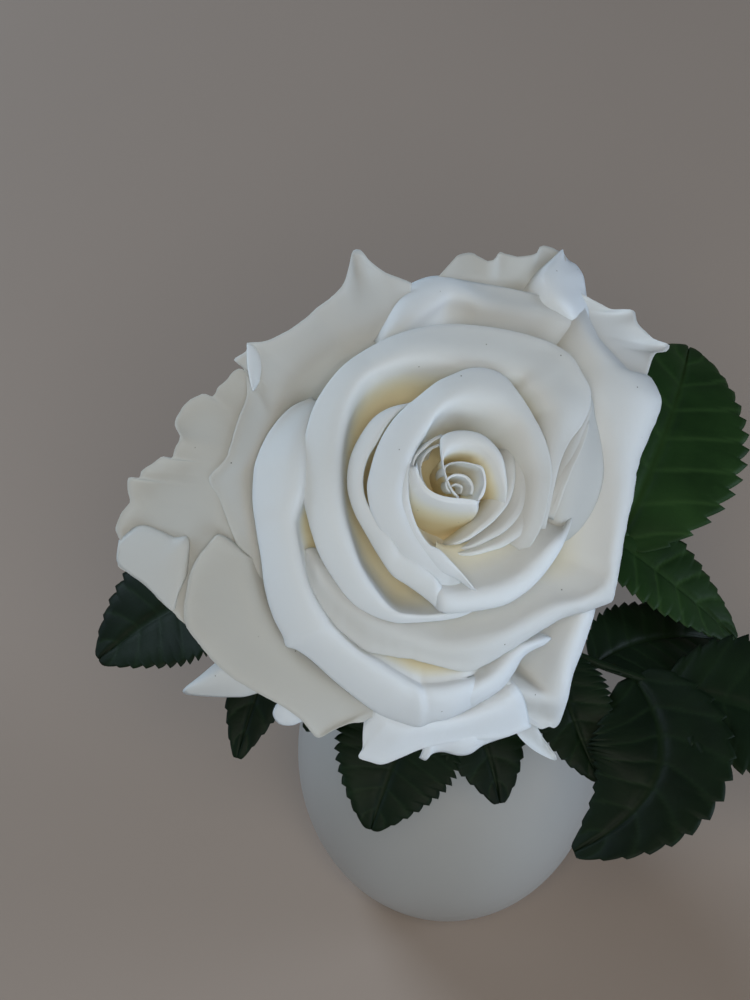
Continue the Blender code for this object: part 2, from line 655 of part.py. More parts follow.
def make_pot(material):
    outside = [(egg_radius(z), z) for z in arc_heights(0.0, POT_HEIGHT, 12)]
    inside = [(egg_radius(z, POT_WALL), z) for z in arc_heights(POT_FLOOR, POT_HEIGHT - 0.4, 10)]
    profile = [(0.0, 0.0)] + outside + inside[::-1] + [(0.0, POT_FLOOR)]
    return turned("pot", profile, POT_SIDES, material)


def make_foam(material):
    inset = POT_WALL + GAP + 0.2
    outside = [(egg_radius(z, inset), z) for z in arc_heights(POT_FLOOR + GAP, FOAM_TOP, 8)]
    hole = STEM_RADIUS + GAP
    profile = [(0.0, POT_FLOOR + GAP)] + outside
    profile += [(hole, FOAM_TOP), (hole, STEM_FOOT_Z - GAP), (0.0, STEM_FOOT_Z - GAP)]
    return turned("foam", profile, POT_SIDES // 2, material)


def main():
    clear_scene()
    white = finish_of("petal_white", (0.86, 0.86, 0.82), 0.5)
    green = finish_of("leaf_green", (0.012, 0.035, 0.015), 0.5)
    stem_green = finish_of("stem_green", (0.05, 0.09, 0.03), 0.5)
    ceramic = finish_of("pot_white", (0.78, 0.78, 0.76), 0.35)
    foam_green = finish_of("foam_green", (0.03, 0.06, 0.03), 0.95)
    make_pot(ceramic)
    make_foam(foam_green)
    make_stem(stem_green)
    make_calyx(stem_green)
    for name, leaf in LEAVES.items():
        make_leaf(name, leaf, green)
    make_bloom(white)


main()
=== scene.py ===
"""Looks of the white rose in its small pot.

Metres, +Z up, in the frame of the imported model. Each petal is drawn by the places in the
picture, in pixels, where its ridge and its edge are seen, and seen() lays those places on a
dome in the bloom's own frame, in millimetres, one layer below the other. The leaves are drawn
by the places of their leaflets, also in millimetres.
"""
from math import atan2, cos, degrees, hypot, pi, radians, sin, sqrt

import bpy
from mathutils import Matrix, Vector, noise


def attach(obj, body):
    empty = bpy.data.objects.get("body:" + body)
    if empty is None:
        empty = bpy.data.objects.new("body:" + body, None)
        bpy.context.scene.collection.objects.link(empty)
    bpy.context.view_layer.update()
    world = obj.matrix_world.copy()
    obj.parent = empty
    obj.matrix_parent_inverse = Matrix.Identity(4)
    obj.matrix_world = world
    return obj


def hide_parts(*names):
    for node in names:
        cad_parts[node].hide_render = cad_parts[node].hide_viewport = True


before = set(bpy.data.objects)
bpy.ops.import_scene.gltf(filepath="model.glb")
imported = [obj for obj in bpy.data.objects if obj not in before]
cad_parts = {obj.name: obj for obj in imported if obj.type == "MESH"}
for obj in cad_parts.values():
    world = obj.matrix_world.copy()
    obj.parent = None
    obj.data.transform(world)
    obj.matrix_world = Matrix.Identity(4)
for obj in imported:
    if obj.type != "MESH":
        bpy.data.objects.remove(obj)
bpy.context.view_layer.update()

MM = 0.001
GAP = 0.3
UP = Vector((0.0, 0.0, 1.0))

# pot and foam
EGG_RADIUS = 35.0
EGG_HALF_HEIGHT = 49.7
EGG_CENTRE_Z = 38.8
POT_HEIGHT = 78.0
POT_WALL = 3.0
POT_FLOOR = 4.0
FOAM_TOP = 70.0

# stem
STEM_RADIUS = 2.6
STEM_FOOT_Z = 22.0
STEM_END = 2.0
HIP_LENGTH = 9.0

# bloom frame, and the dome that its petals are laid on: it falls away from the crown, less so on
# its raised side, and each layer lies lower than the one before
BLOOM_BASE = Vector((-18.1, -6.2, 137.9))
BLOOM_AXIS = Vector((0.352, -0.470, 0.809)).normalized()
SEAT_RADIUS = 5.0
CROWN = 50.0
DOME_FALL = 2.0
DOME_RADIUS = 20.0
DOME_POWER = 2.4
RAISED_SIDE = 35
RAISE = 0.005
LAYER_STEP = 0.8
LAYER_GROWTH = 0.025

# a petal's mesh: rows from root to edge, columns along it, a pixel's width, and the curl's steps
WALL_ROWS = 16
LIP_ROWS = 12
CURL_ROWS = 4
COLUMN_WIDTH = 0.5
FEWEST_COLUMNS = 24
PIXEL_WIDTH = 0.18
CURL_TURN = radians(32)
CURL_STEP = 0.3

# how a petal's ends sink below its neighbours, over what share of its length
END_SINK = 0.8
END_SHARE = 0.05

# a lip that lies open: its edge's drop, its slope and how much painted shade greys it
OPEN_TUCK = -0.3
OPEN_LEAN = 82.0
OPEN_TONE = 0.6

# ripples of a petal, for each millimetre, and ragged edges, for each pixel
RIPPLE = 0.13
FINE_RIPPLE = 0.6
RAGGED = 0.09
FINE_RAGGED = 0.4

# leaves
LEAF_THICKNESS = 0.45
RACHIS_RADIUS = 1.1
LEAF_TEETH = 15
LEAF_VEINS = 7

# blades are thinner at their free edges, and full this many rows in
EDGE_SHARE = 0.35
EDGE_ROWS = 3.0

# camera: picture size and focal length in pixels, place in millimetres, angle below level
PICTURE_WIDTH = 750
PICTURE_HEIGHT = 1000
PICTURE_FOCUS = 2600
CAMERA_PLACE = Vector((-17.1, -326.9, 552.8))
CAMERA_DOWN = radians(52)
CAMERA_AHEAD = Vector((0.0, cos(CAMERA_DOWN), -sin(CAMERA_DOWN)))
CAMERA_UP = Vector((0.0, sin(CAMERA_DOWN), cos(CAMERA_DOWN)))
CAMERA_RIGHT = Vector((1.0, 0.0, 0.0))

# lights, in metres
LIGHT_CENTRE = Vector((-0.01, -0.01, 0.16))
LIGHT_DISTANCE = 1.2
LIGHT_SIZE = 0.6
LIGHTS = [
    # azimuth it comes from, elevation, power, colour
    (270, 52, 6.2, (1.0, 0.93, 0.82)),
    (262, 20, 1.8, (0.84, 0.92, 1.0)),
    (0, 5, 7.3, (0.68, 0.81, 1.0)),
    (300, 5, 4.6, (0.70, 0.85, 1.0)),
    (135, 30, 8.5, (0.66, 0.82, 1.0)),
    (180, 5, 3.5, (0.62, 0.80, 1.0)),
]
SKY_COLOUR = (0.78, 0.83, 0.90, 1.0)
SKY_STRENGTH = 0.04
FLOOR_HALF = 3.0


# Small geometry helpers

def catmull(knots, values, x):
    """Smooth curve through the values at rising knots."""
    last = len(knots) - 1
    x = min(max(x, knots[0]), knots[-1])
    i = 0
    while i < last - 1 and x > knots[i + 1]:
        i += 1

    def slope(k):
        low = max(k - 1, 0)
        high = min(k + 1, last)
        return (values[high] - values[low]) / (knots[high] - knots[low])

    width = knots[i + 1] - knots[i]
    t = (x - knots[i]) / width
    return ((2 * t**3 - 3 * t**2 + 1) * values[i] + (t**3 - 2 * t**2 + t) * width * slope(i)
            + (3 * t**2 - 2 * t**3) * values[i + 1] + (t**3 - t**2) * width * slope(i + 1))


def bezier(a, b, c, d, t):
    s = 1.0 - t
    return s**3 * a + 3 * s * s * t * b + 3 * s * t * t * c + t**3 * d


def smooth(low, high, x):
    """0 below low, 1 above high, with a soft step between."""
    t = min(max((x - low) / (high - low), 0.0), 1.0)
    return t * t * (3 - 2 * t)


def rough(x, y, z=0.0):
    """Gentle noise between about -1 and 1."""
    return noise.noise(Vector((x, y, z)))


def polar(radius, turn, height=0.0):
    return Vector((radius * cos(turn), radius * sin(turn), height))


def place_object(name, data):
    obj = bpy.data.objects.new(name, data)
    bpy.context.scene.collection.objects.link(obj)
    return obj


class Mesh:
    """Points and faces of one piece, with two numbers for each point that the material reads."""

    def __init__(self):
        self.points = []
        self.faces = []
        self.depth = []
        self.tone = []

    def add_point(self, place, value):
        self.points.append(place)
        self.depth.append(value)
        self.tone.append(0.0)

    def blade(self, grid, depth, thickness, tone=None):
        """Adds a thin solid round a grid of points, thinner towards its free edges."""
        rows = len(grid)
        columns = len(grid[0])
        tone = tone or [[0.0] * columns] * rows
        start = len(self.points)
        count = rows * columns
        upper = []
        lower = []
        for j in range(rows):
            for i in range(columns):
                along = grid[min(j + 1, rows - 1)][i] - grid[max(j - 1, 0)][i]
                across = grid[j][min(i + 1, columns - 1)] - grid[j][max(i - 1, 0)]
                normal = across.cross(along).normalized()
                free = min(rows - 1 - j, i * 1.5, (columns - 1 - i) * 1.5)
                full = smooth(0.0, EDGE_ROWS, free)
                half = thickness / 2 * (EDGE_SHARE + (1 - EDGE_SHARE) * full)
                upper.append(grid[j][i] + normal * half)
                lower.append(grid[j][i] - normal * half)
        self.points += upper + lower
        for kept, values in ((self.depth, depth), (self.tone, tone)):
            kept += 2 * [value for row in values for value in row]
        for j in range(rows - 1):
            for i in range(columns - 1):
                a = start + j * columns + i
                b = a + columns
                self.faces.append((a, a + 1, b + 1, b))
                self.faces.append((a + count, b + count, b + 1 + count, a + 1 + count))
        rim = list(range(columns))
        rim += [j * columns + columns - 1 for j in range(1, rows)]
        rim += [(rows - 1) * columns + i for i in range(columns - 2, -1, -1)]
        rim += [j * columns for j in range(rows - 2, 0, -1)]
        for k, a in enumerate(rim):
            b = rim[(k + 1) % len(rim)]
            self.faces.append((start + a, start + a + count, start + b + count, start + b))

    def tube(self, path, radii, sides, value=0.0):
        """Adds a closed tube along a path of points, with a radius at each."""
        start = len(self.points)
        side = Vector((1.0, 0.1, 0.0))
        last = len(path) - 1
        for k, (place, radius) in enumerate(zip(path, radii)):
            along = (path[min(k + 1, last)] - path[max(k - 1, 0)]).normalized()
            side = (side - along * side.dot(along)).normalized()
            other = along.cross(side)
            for i in range(sides):
                turn = 2 * pi * i / sides
                out = side * cos(turn) + other * sin(turn)
                self.add_point(place + out * radius, value)
        for k in range(last):
            for i in range(sides):
                a = start + k * sides + i
                b = start + k * sides + (i + 1) % sides
                self.faces.append((a, b, b + sides, a + sides))
        self.faces.append(tuple(start + i for i in reversed(range(sides))))
        self.faces.append(tuple(start + last * sides + i for i in range(sides)))

    def turned(self, profile, sides, matrix=Matrix.Identity(4), value=0.0):
        """Adds a solid of revolution from (radius, height) pairs that start and end on the axis."""
        rings = []
        for radius, height in profile:
            if radius == 0.0:
                rings.append([len(self.points)])
                self.add_point(matrix @ (UP * height), value)
            else:
                rings.append(list(range(len(self.points), len(self.points) + sides)))
                for i in range(sides):
                    place = polar(radius, 2 * pi * i / sides, height)
                    self.add_point(matrix @ place, value)
        for low, high in zip(rings, rings[1:]):
            for i in range(sides):
                k = (i + 1) % sides
                if len(low) == 1 and len(high) > 1:
                    self.faces.append((low[0], high[k], high[i]))
                elif len(high) == 1 and len(low) > 1:
                    self.faces.append((low[i], low[k], high[0]))
                elif len(low) > 1:
                    self.faces.append((low[i], low[k], high[k], high[i]))

    def make(self, name, material):
        mesh = bpy.data.meshes.new(name)
        mesh.from_pydata([point * MM for point in self.points], [], self.faces)
        mesh.validate()
        mesh.materials.append(material)
        mesh.shade_smooth()
        for attribute, values in (("depth", self.depth), ("tone", self.tone)):
            layer = mesh.attributes.new(attribute, "FLOAT", "POINT")
            layer.data.foreach_set("value", values)
        return place_object(name, mesh)


# Bloom: each petal is drawn by rows of places in the picture, and stood up in the bloom's frame

def dome(radius, angle, layer):
    """Height of a layer of the open bloom; its upper right side stays less reflexed."""
    lift = RAISE * radius**2 * max(0.0, cos(radians(angle - RAISED_SIDE)))
    fall = DOME_FALL * (radius / DOME_RADIUS) ** DOME_POWER
    return CROWN - fall + lift - LAYER_STEP * layer - LAYER_GROWTH * layer**2


def bloom_matrix():
    side = Vector((1.0, 0.0, 0.0))
    side = (side - BLOOM_AXIS * side.dot(BLOOM_AXIS)).normalized()
    other = BLOOM_AXIS.cross(side)
    turn = Matrix((side, other, BLOOM_AXIS)).transposed().to_4x4()
    return Matrix.Translation(BLOOM_BASE) @ turn


BLOOM_MATRIX = bloom_matrix()
TO_BLOOM_PLACE = BLOOM_MATRIX.inverted()
TO_BLOOM = TO_BLOOM_PLACE.to_3x3()


def seen(x, y, layer, rise, drop=0.0):
    """Place in the bloom's frame where the camera sees a picture point on a layer of the dome."""
    way = CAMERA_RIGHT * (x - PICTURE_WIDTH / 2) + CAMERA_UP * (PICTURE_HEIGHT / 2 - y)
    way = TO_BLOOM @ (way + CAMERA_AHEAD * PICTURE_FOCUS)
    eye = TO_BLOOM_PLACE @ CAMERA_PLACE
    height = 40.0
    for _ in range(40):
        place = eye + way * ((height - eye.z) / way.z)
        radius = hypot(place.x, place.y)
        angle = degrees(atan2(place.y, place.x))
        height = 0.6 * height + 0.4 * (dome(radius, angle, layer) + rise - drop)
    return eye + way * ((height - eye.z) / way.z)


PETALS = {}
PETAL_DEFAULTS = dict(
    rise=0,         # lifts the petal above its layer
    tuck=1,         # lowers its lip's edge
    lean=0,         # the wall's slope away from the axis at the ridge, degrees
    bend=0.4,       # how full the roll of the lip is
    hang=70,        # how steeply the edge points down, degrees
    curl=0.3,       # how far the edge turns under
    fray=0,         # how ragged the edge is
    wave=0.25,      # how much the petal ripples
    foot=(0.7, 0),  # the root's radius: a share of the ridge's, and an added length
    deep=37,        # the root's height
    thick=0.24,
    warm=1,         # how much cream and painted shade the inner face takes, deepening away from the ridge
    tone=0,         # how much painted shade greys a thin outer petal
)
# from this layer out the petals take less of the cream and painted shade
PALE_LAYER = 8
PALE_CREAM_SHADE = 0.35


def petal(name, layer, rows, **shape):
    """Notes down a petal; layer counts from the heart outwards.

    rows: (ridge x, ridge y, edge x, edge y, lift, flat) in the picture, the last two left out
    where they are 0. The ridge is where the petal's inner face turns over into its rolled lip;
    lift raises that row, and flat is 1 where the lip lies open instead of rolling over.
    """
    shape = PETAL_DEFAULTS | {"layer": layer, "rows": rows} | shape
    if layer >= PALE_LAYER:
        shape["warm"] *= PALE_CREAM_SHADE
    PETALS[name] = shape


def outer_petal(name, layer, rows, **shape):
    """A petal without a curl, whose root lies lower and further out the later its layer is."""
    root = dict(foot=(0, 5 + layer / 2), deep=20 - layer, curl=0)
    petal(name, layer, rows, **(root | shape))


def fan_petal(name, rows):
    """One of the thin rims fanned out deep in the cup."""
    petal(name, 1, rows, tuck=0.1, lean=24, foot=(0.8, 0), wave=0.15, curl=0, deep=33,
          thick=0.14, warm=1.8)


# the heart: small upright petals wound round each other
petal("curl_in", 0, [
    (460, 494, 461, 495), (461, 488, 462.5, 487), (456, 485, 456, 483.5), (451, 487, 450, 486)
], rise=-2.2, tuck=0, lean=-5, wave=0.03, curl=0, deep=45, thick=0.12)
petal("curl_out", 0, [
    (470, 495, 472, 497), (471, 486, 473.5, 485), (465, 478, 466, 475.5), (455, 476, 454, 474),
    (448, 480, 446.5, 479), (447, 486, 445.5, 487), (451, 493, 450, 494.5)
], rise=-1.2, tuck=0, lean=-5, wave=0.03, curl=0, deep=44, thick=0.12)
petal("inner_right", 0, [
    (477, 500, 478, 502), (481, 493, 483.5, 495), (484, 484, 486, 485), (483.5, 476, 485.5, 475.5),
    (480, 468, 482, 466.5), (472, 464.5, 472.5, 463.5), (462, 462.5, 462, 461.5),
    (451.5, 463.5, 451, 462.5), (445.5, 467.5, 444.5, 466.5), (445, 476, 444, 476)
], tuck=0.3, lean=-8, wave=0.05, curl=0, deep=43, thick=0.14)
petal("hood", 1, [
    (502, 508, 504, 510, -6, 0.5), (504, 492, 507, 492, -2.4, 0.5), (500, 476, 506, 474, -0.6, 0.5),
    (494, 462, 502, 456, 0, 0.5), (486, 453, 493, 443, 0, 0.5), (477, 448, 481, 434, 0, 0.5),
    (466, 446, 466, 430.5, 0, 0.5), (455, 448, 452, 431.5, 0, 0.4), (447, 453, 441, 437.5, 0, 0.2),
    (443, 460, 440, 450), (444, 468, 442, 465), (447, 478, 445.5, 478.5), (452.5, 490, 451.5, 491.5),
    (459, 497, 458, 499)
], rise=0.5, tuck=0.2, lean=10, foot=(0.3, 0), wave=0.05, curl=0, thick=0.16, warm=3.8)
petal("inner_cup", 1, [
    (415, 466, 416.5, 462), (417.5, 479, 419, 474), (422, 489, 424, 484), (430, 496.5, 431, 491),
    (441, 501, 441, 495.5), (454, 503.5, 453.5, 498), (467, 504, 467, 499),
    (478.5, 505, 480.5, 501.5)
], rise=0.4, tuck=-0.5, lean=-35, foot=(1, 5), wave=0.05, curl=0, hang=-60, thick=0.16, warm=1.5)
petal("sliver", 2, [
    (443, 436, 441, 434.5), (433.5, 441, 431.5, 439), (424, 449, 422, 447.5),
    (415.5, 458.5, 414, 457.5), (413, 470, 411.5, 470), (415.5, 484, 414, 484.5),
    (422, 497, 420.5, 498.5)
], rise=-0.8, tuck=0.2, lean=-15, wave=0.05, curl=0, thick=0.2)
petal("sliver_low", 2, [
    (441, 445, 439.5, 443.5, -0.6), (432, 449, 430.5, 447.5), (424.5, 457, 423, 456),
    (421, 467, 419.5, 467), (422.5, 479, 421, 480), (428, 489, 426.5, 490.5, -0.6)
], rise=-1.6, tuck=0.2, lean=-15, wave=0.05, curl=0, thick=0.16, warm=0.7)

# the fan deep in the cup
fan_petal("fan_a", [
    (446, 546, 447, 548, -8.6), (464, 538, 467, 540.5, -6.8, 0.2), (479, 526, 483, 530, -5.8, 0.4),
    (491, 515, 496, 519, -5, 0.5), (502, 499, 509, 502, -4.4, 0.7), (507, 480, 515, 480, -4.2, 0.9),
    (506, 462, 514, 458, -4.4, 1), (499, 448, 506, 442, -6, 1)
])
fan_petal("fan_b", [
    (450, 550, 451, 552, -8.6), (470, 545, 473, 548, -6.8, 0.2), (488, 535, 492, 539, -5.8, 0.4),
    (502, 525, 507, 530, -5, 0.5), (515, 508, 522, 512, -4.2, 0.7), (521, 488, 529, 489, -3.8, 0.9),
    (522, 466, 530, 464, -3.8, 1), (516, 446, 524, 440, -4.4, 1), (506, 432, 513, 424, -6, 1)
])
fan_petal("fan_c", [
    (450, 553, 451, 555, -8), (470, 552, 472, 555.5, -6.2, 0.2), (488, 546, 492, 550.5, -5.2, 0.4),
    (500, 541, 505, 546, -4.8, 0.5), (518, 527, 524, 532, -3.8, 0.7),
    (530, 508, 537, 511, -3.2, 0.9), (534, 486, 542, 486, -3, 1), (531, 464, 539, 461, -3.2, 1),
    (524, 444, 531, 438, -4.6, 1)
])

# the cup round the heart
petal("cup_left", 2, [
    (414, 450, 402, 454), (409, 466, 396, 472), (408, 484, 393, 490), (409, 502, 394, 508),
    (416, 525, 402, 530), (428, 544, 416, 549), (439, 550, 430, 562), (450, 561, 443, 572),
    (463, 575, 458, 579), (475, 590, 476, 593)
], lean=2, foot=(0.75, 0))
petal("cup_top", 3, [
    (516, 548, 524, 554, -2.4, 1), (528, 528, 538, 532, -1.6, 1), (536, 502, 547, 503, -1, 1),
    (538, 474, 551, 472, -0.6, 1), (532, 450, 546, 444, -0.2, 0.9), (520, 424, 532, 414, 0, 0.8),
    (505, 414, 518, 393, 0, 0.7), (490, 408, 504, 376, 0, 0.5), (473, 406, 487, 369, 0, 0.4),
    (456, 407, 469, 369, 0, 0.3), (443, 412, 453, 375, 0, 0.2), (435, 418, 438, 382, 0, 0.1),
    (430, 426, 420, 396), (425, 435, 401, 412), (418, 446, 387, 430), (412, 458, 377, 450),
    (408, 471, 371, 470), (404, 485, 368, 488), (403, 500, 371, 508), (407, 515, 379, 526),
    (415, 530, 392, 543, -0.2), (426, 545, 407, 560, -0.4), (438, 558, 424, 574, -0.7),
    (450, 570, 442, 586, -1.2), (461, 580, 456, 597, -2.2)
], rise=0.3, tuck=0.6, lean=18, foot=(0.5, 0), hang=50, warm=0.55)
petal("cup_low", 3, [
    (429, 584, 427, 596, -3), (438, 588, 440, 611, -0.5), (456, 592, 462, 612), (478, 589, 486, 609),
    (500, 582, 508, 603), (520, 570, 530, 588), (538, 553, 548, 568), (550, 541, 561, 548, -0.4),
    (556, 534, 568, 532, -1.5, 0.5), (561, 528, 572, 519, -3.4, 0.8), (565, 522, 574, 507, -6.5, 1)
], rise=-0.3, tuck=0.9, lean=54, foot=(0.55, 0), hang=80, deep=41, warm=0.85)

# second ring
petal("ring_in", 4, [
    (412, 402, 404, 404), (398, 412, 388, 409), (386, 426, 374, 418), (377, 442, 362, 434),
    (368, 457, 352, 454), (363, 474, 348, 474), (363, 490, 349, 494), (368, 506, 356, 515),
    (379, 523, 368, 536), (391, 538, 381, 558, 0.4), (400, 550, 393, 575, -0.2),
    (416, 560, 408, 585), (428, 571, 423, 596), (437, 581, 436, 607, 0.3), (440, 585, 439, 611, 0.2)
], rise=-0.2, tuck=0.9, lean=4, warm=2)
petal("ring_top", 5, [
    (530, 548, 538, 552, -3.2, 0.8), (536, 526, 545, 528, -1.4, 0.9), (541, 502, 550, 502, 0, 0.9),
    (545, 480, 555, 480, 0.8, 0.9), (549, 459, 561, 459, 1, 0.9), (552, 440, 570, 440, 0.9, 0.9),
    (553, 424, 582, 424, 0.8, 0.8), (552, 410, 590, 406, 0.7, 0.8), (547, 400, 590, 389, 0.6, 0.9),
    (541, 391, 581, 373, 0.4, 1), (532, 383, 571, 357, 0.2, 1), (524, 374, 554, 345, -0.1, 1),
    (507, 370, 532, 337, -0.1, 1), (489, 367, 508, 331, -0.1, 0.9), (471, 365, 482, 327, 0, 0.8),
    (452, 363, 456, 325, 0, 0.7), (431, 362, 427, 327, 0, 0.5), (404, 363, 394, 336, 0, 0.3),
    (382, 370, 370, 348, 0, 0.3), (364, 382, 346, 364, 0, 0.3), (352, 400, 328, 384, 0, 0.3),
    (345, 422, 314, 408, 0, 0.3), (341, 446, 306, 436, 0, 0.3), (340, 470, 302, 464, 0, 0.3),
    (341, 494, 303, 492, 0, 0.1), (345, 518, 309, 522), (352, 542, 319, 552), (361, 566, 334, 579),
    (374, 587, 352, 602), (387, 604, 373, 615), (398, 612, 394, 622), (410, 614, 408, 622.5, -0.3),
    (424, 615, 424, 621.5, -0.6), (440, 614, 441, 620, -0.9), (456, 611, 458, 617, -1.3),
    (470, 606, 472, 612, -2)
], tuck=0.8, lean=34, hang=55, deep=36.3, warm=1.3)

# the face right of the cup, and the pleat over it
petal("right_face", 6, [
    (552, 540, 566, 546, -3.6), (554, 524, 584, 530, -1.4), (554, 504, 597, 508, 0.3),
    (555, 482, 604, 482, 1.2), (560, 462, 605, 456, 1.4), (568, 442, 602, 434, 1.4),
    (580, 424, 597, 414, 1.2), (586, 408, 594, 398, 0.6), (584, 396, 590, 386, -1.4)
], tuck=4.9, lean=62, bend=0.3, hang=30, curl=0, tone=0.85)
petal("pleat_short", 6, [
    (549, 518, 553, 520, 0, 1), (554, 503, 559, 505, 1, 1), (561, 485, 566, 486, 1.6, 1),
    (568, 467, 573, 468, 1.8, 1), (576, 449, 582, 449, 1.6, 1), (580, 434, 588, 432, 1.2, 1),
    (582, 420, 590, 416, 0.7, 1)
], rise=0.3, wave=0.4, curl=0, thick=0.12)

# third ring
petal("big_left", 7, [
    (322, 404, 312, 398, -4, 1), (315, 416, 290, 409, -1.6, 0.8), (311, 432, 270, 432, 0.3, 0.5),
    (308, 450, 257, 460, 1.3, 0.3), (307, 474, 254, 480, 1.6, 0.2), (304, 497, 254, 505, 1.4, 0.1),
    (297, 522, 257, 530, 0.5), (301, 550, 262, 560, 0.2), (307, 575, 266, 590), (316, 597, 274, 618),
    (326, 613, 284, 638), (330, 619, 286.5, 646), (336, 626, 296, 649), (345, 636, 311, 659),
    (359, 648, 330, 676), (378, 660, 354, 696), (394, 670, 380, 714), (406, 677, 401, 722),
    (414, 681, 416, 726.5, 0.1), (420, 683, 422, 726, -0.35), (428, 684, 431, 722, 0.1),
    (442, 683, 446, 719), (457, 680, 463, 712, -0.4), (470, 676, 479, 703, -1.4),
    (480, 671, 490, 694, -2.8)
], tuck=1.6, lean=34, warm=2.8, deep=34)
petal("low_middle", 8, [
    (438, 698, 448, 714, -1.6), (455, 690, 469, 707, 0.2), (472, 682, 486, 699, 0.7),
    (488, 673, 503, 687, 0.5), (500, 662, 514, 672), (510, 652, 522, 658, -0.4),
    (520, 644, 532, 650, -0.9), (532, 639, 543, 645, -2), (542, 634, 551, 639, -4)
], lean=40, foot=(0, 9.5), deep=11)
petal("wide_right", 8, [
    (308, 548, 302, 551, 0.8), (316, 560, 307, 574, 1.7, 0.1), (328, 577, 320, 602, 2.1, 0.5),
    (345, 596, 339, 628, 2.2, 0.8), (366, 612, 366, 649, 2.2, 0.8), (390, 625, 391, 655, 2.1, 0.8),
    (414, 635, 415, 659, 1.9, 0.8), (438, 642, 441, 666, 1.5, 0.8), (460, 641, 468, 671, 1.1, 0.6),
    (482, 636, 489, 663, 0.8, 0.3), (503, 628, 510, 650, 0.5, 0.1), (526, 616, 534, 635, 0.2),
    (552, 604, 562, 618), (578, 597, 590, 610), (596, 588, 606, 604, 0.3), (604, 576, 613, 598),
    (606, 556, 620, 560), (609, 530, 627, 522), (611, 502, 633, 492), (611, 474, 636, 473),
    (608, 446, 642, 452), (602, 420, 656, 420), (598, 397, 660, 399), (596, 380, 649, 377, 0, 0.2),
    (594, 364, 630, 371, 0, 0.3), (586, 348, 611, 352, -0.2, 0.4), (578, 334, 597, 334, -0.6, 0.4),
    (571, 320, 588, 316, -1.2, 0.5), (565, 308, 580, 301, -2.2, 0.6), (559, 298, 570, 290, -4, 0.8)
], lean=60, foot=(0, 14), deep=33, fray=0.2, warm=1.8, tone=0.25)

# outer petals, open and reflexed
petal("top_lip", 9, [
    (590, 348, 597, 340, -3.4, 1), (581, 337, 588, 326, -1.4, 1), (570, 328, 577, 312, -0.4, 1),
    (556, 322, 562, 302, -0.2, 1), (538, 318, 542, 296, -0.5, 1), (516, 315, 517, 290, -0.4, 1),
    (496, 312, 493, 285, -0.3, 0.9), (478, 308, 474, 282, -0.1, 0.6), (464, 303, 458, 279, 0, 0.2),
    (448, 302, 444, 276), (434, 312, 428, 277), (421, 322, 412, 283), (409, 332, 398, 293),
    (397, 338, 388, 308), (388, 341, 381, 326), (380, 346, 374, 342)
], tuck=0.8, lean=40, foot=(0, 14), deep=32, curl=0)
outer_petal("top_left", 10, [
    (404, 330, 412, 283), (396, 332, 400, 278), (388, 334, 384, 272), (380, 336, 370, 261),
    (374, 338, 360, 250), (370, 340, 353, 250.5), (364, 342, 349, 266), (356, 345, 344, 283),
    (348, 348, 334, 295), (340, 352, 320, 305), (330, 358, 301, 321), (318, 366, 281, 334),
    (306, 376, 262, 342), (298, 384, 247, 343, 0, 0.1), (292, 392, 246, 351, 0, 0.2),
    (288, 398, 234, 360, 0, 0.3), (284, 404, 242, 365, 0, 0.5), (281, 410, 246, 376, 0, 0.7),
    (278, 416, 247, 392, 0, 0.9), (274, 424, 244, 404, 0, 1), (269, 434, 238, 420, 0, 1),
    (262, 446, 231, 442, 0.1, 1), (256, 460, 225, 460, 0.1, 1), (250, 474, 209.5, 478, 0.1, 1),
    (248, 490, 220, 500, 0.1, 1), (250, 510, 229, 524, -0.2, 1), (254, 535, 239, 550, -0.8, 1),
    (260, 562, 250, 578, -1.8, 1), (266, 590, 260, 604, -3.2, 1)
], tuck=-4, lean=62, bend=0.3, fray=0.15, hang=-5, tone=0.6)
outer_petal("left_flap", 10, [
    (262, 343.5, 247, 343), (264, 360, 247, 360), (261, 377, 249, 377), (254, 390, 252.5, 391)
], rise=1, tuck=-2.6, lean=20, bend=0.2, hang=50)
outer_petal("low", 10, [
    (376, 696, 364, 722), (381, 703, 363, 736), (386, 708, 363, 748), (392, 711, 359, 757),
    (398, 714, 369, 761), (405, 716, 382, 764), (413, 717, 400, 757.5), (426, 718, 420, 749),
    (441, 718, 440, 744), (459, 715, 460, 741), (476, 709, 482, 739), (490, 701, 504, 737),
    (503, 692, 519, 732), (513, 682, 531, 727)
], tuck=0.2, lean=56, bend=0.3, curl=0.15, hang=35, thick=0.18)
outer_petal("top", 11, [
    (558, 316, 566, 312, -3), (556, 308, 567, 298, -1.4), (554, 300, 567, 284), (552, 295, 567, 272),
    (550, 292, 566, 264), (547, 290, 565, 257), (542, 288, 559, 250.5), (537, 287, 549, 246.5),
    (532, 287, 540, 247), (527, 287, 537, 253), (516, 288, 520, 256), (506, 289, 506, 254.5),
    (498, 290, 499.5, 252.5), (492, 291, 494.5, 259), (487, 292, 488, 261), (480, 293, 482, 258),
    (472, 295, 472, 252.5), (462, 298, 460, 254.5), (452, 302, 449, 264), (444, 306, 438, 277)
], tuck=-3.5, lean=62, bend=0.3, fray=0.3, hang=0, tone=1.2)
outer_petal("top_flap", 11, [
    (570, 326, 594, 336, -2.4), (560, 313, 590, 322, -0.8), (551, 302, 588, 308),
    (544, 289, 586, 292), (542, 277, 583, 276), (547, 266, 576, 265), (556, 257, 568, 260),
    (560, 251, 562, 252)
], rise=3.8, tuck=3.6, lean=40, bend=0.3, hang=50, wave=0.4, thick=0.16)
outer_petal("left_fold", 12, [
    (134, 527, 119, 540), (145, 526, 117, 552), (159, 531, 117.5, 563), (175, 538, 128, 573),
    (188, 538, 142, 583), (188, 560, 154, 594), (186, 576, 164, 604), (176, 592, 174, 613)
], rise=3.2, tuck=-2.2, lean=20, bend=0.2, foot=(0, 10.5), deep=9, hang=50, wave=0.1, tone=0.7)
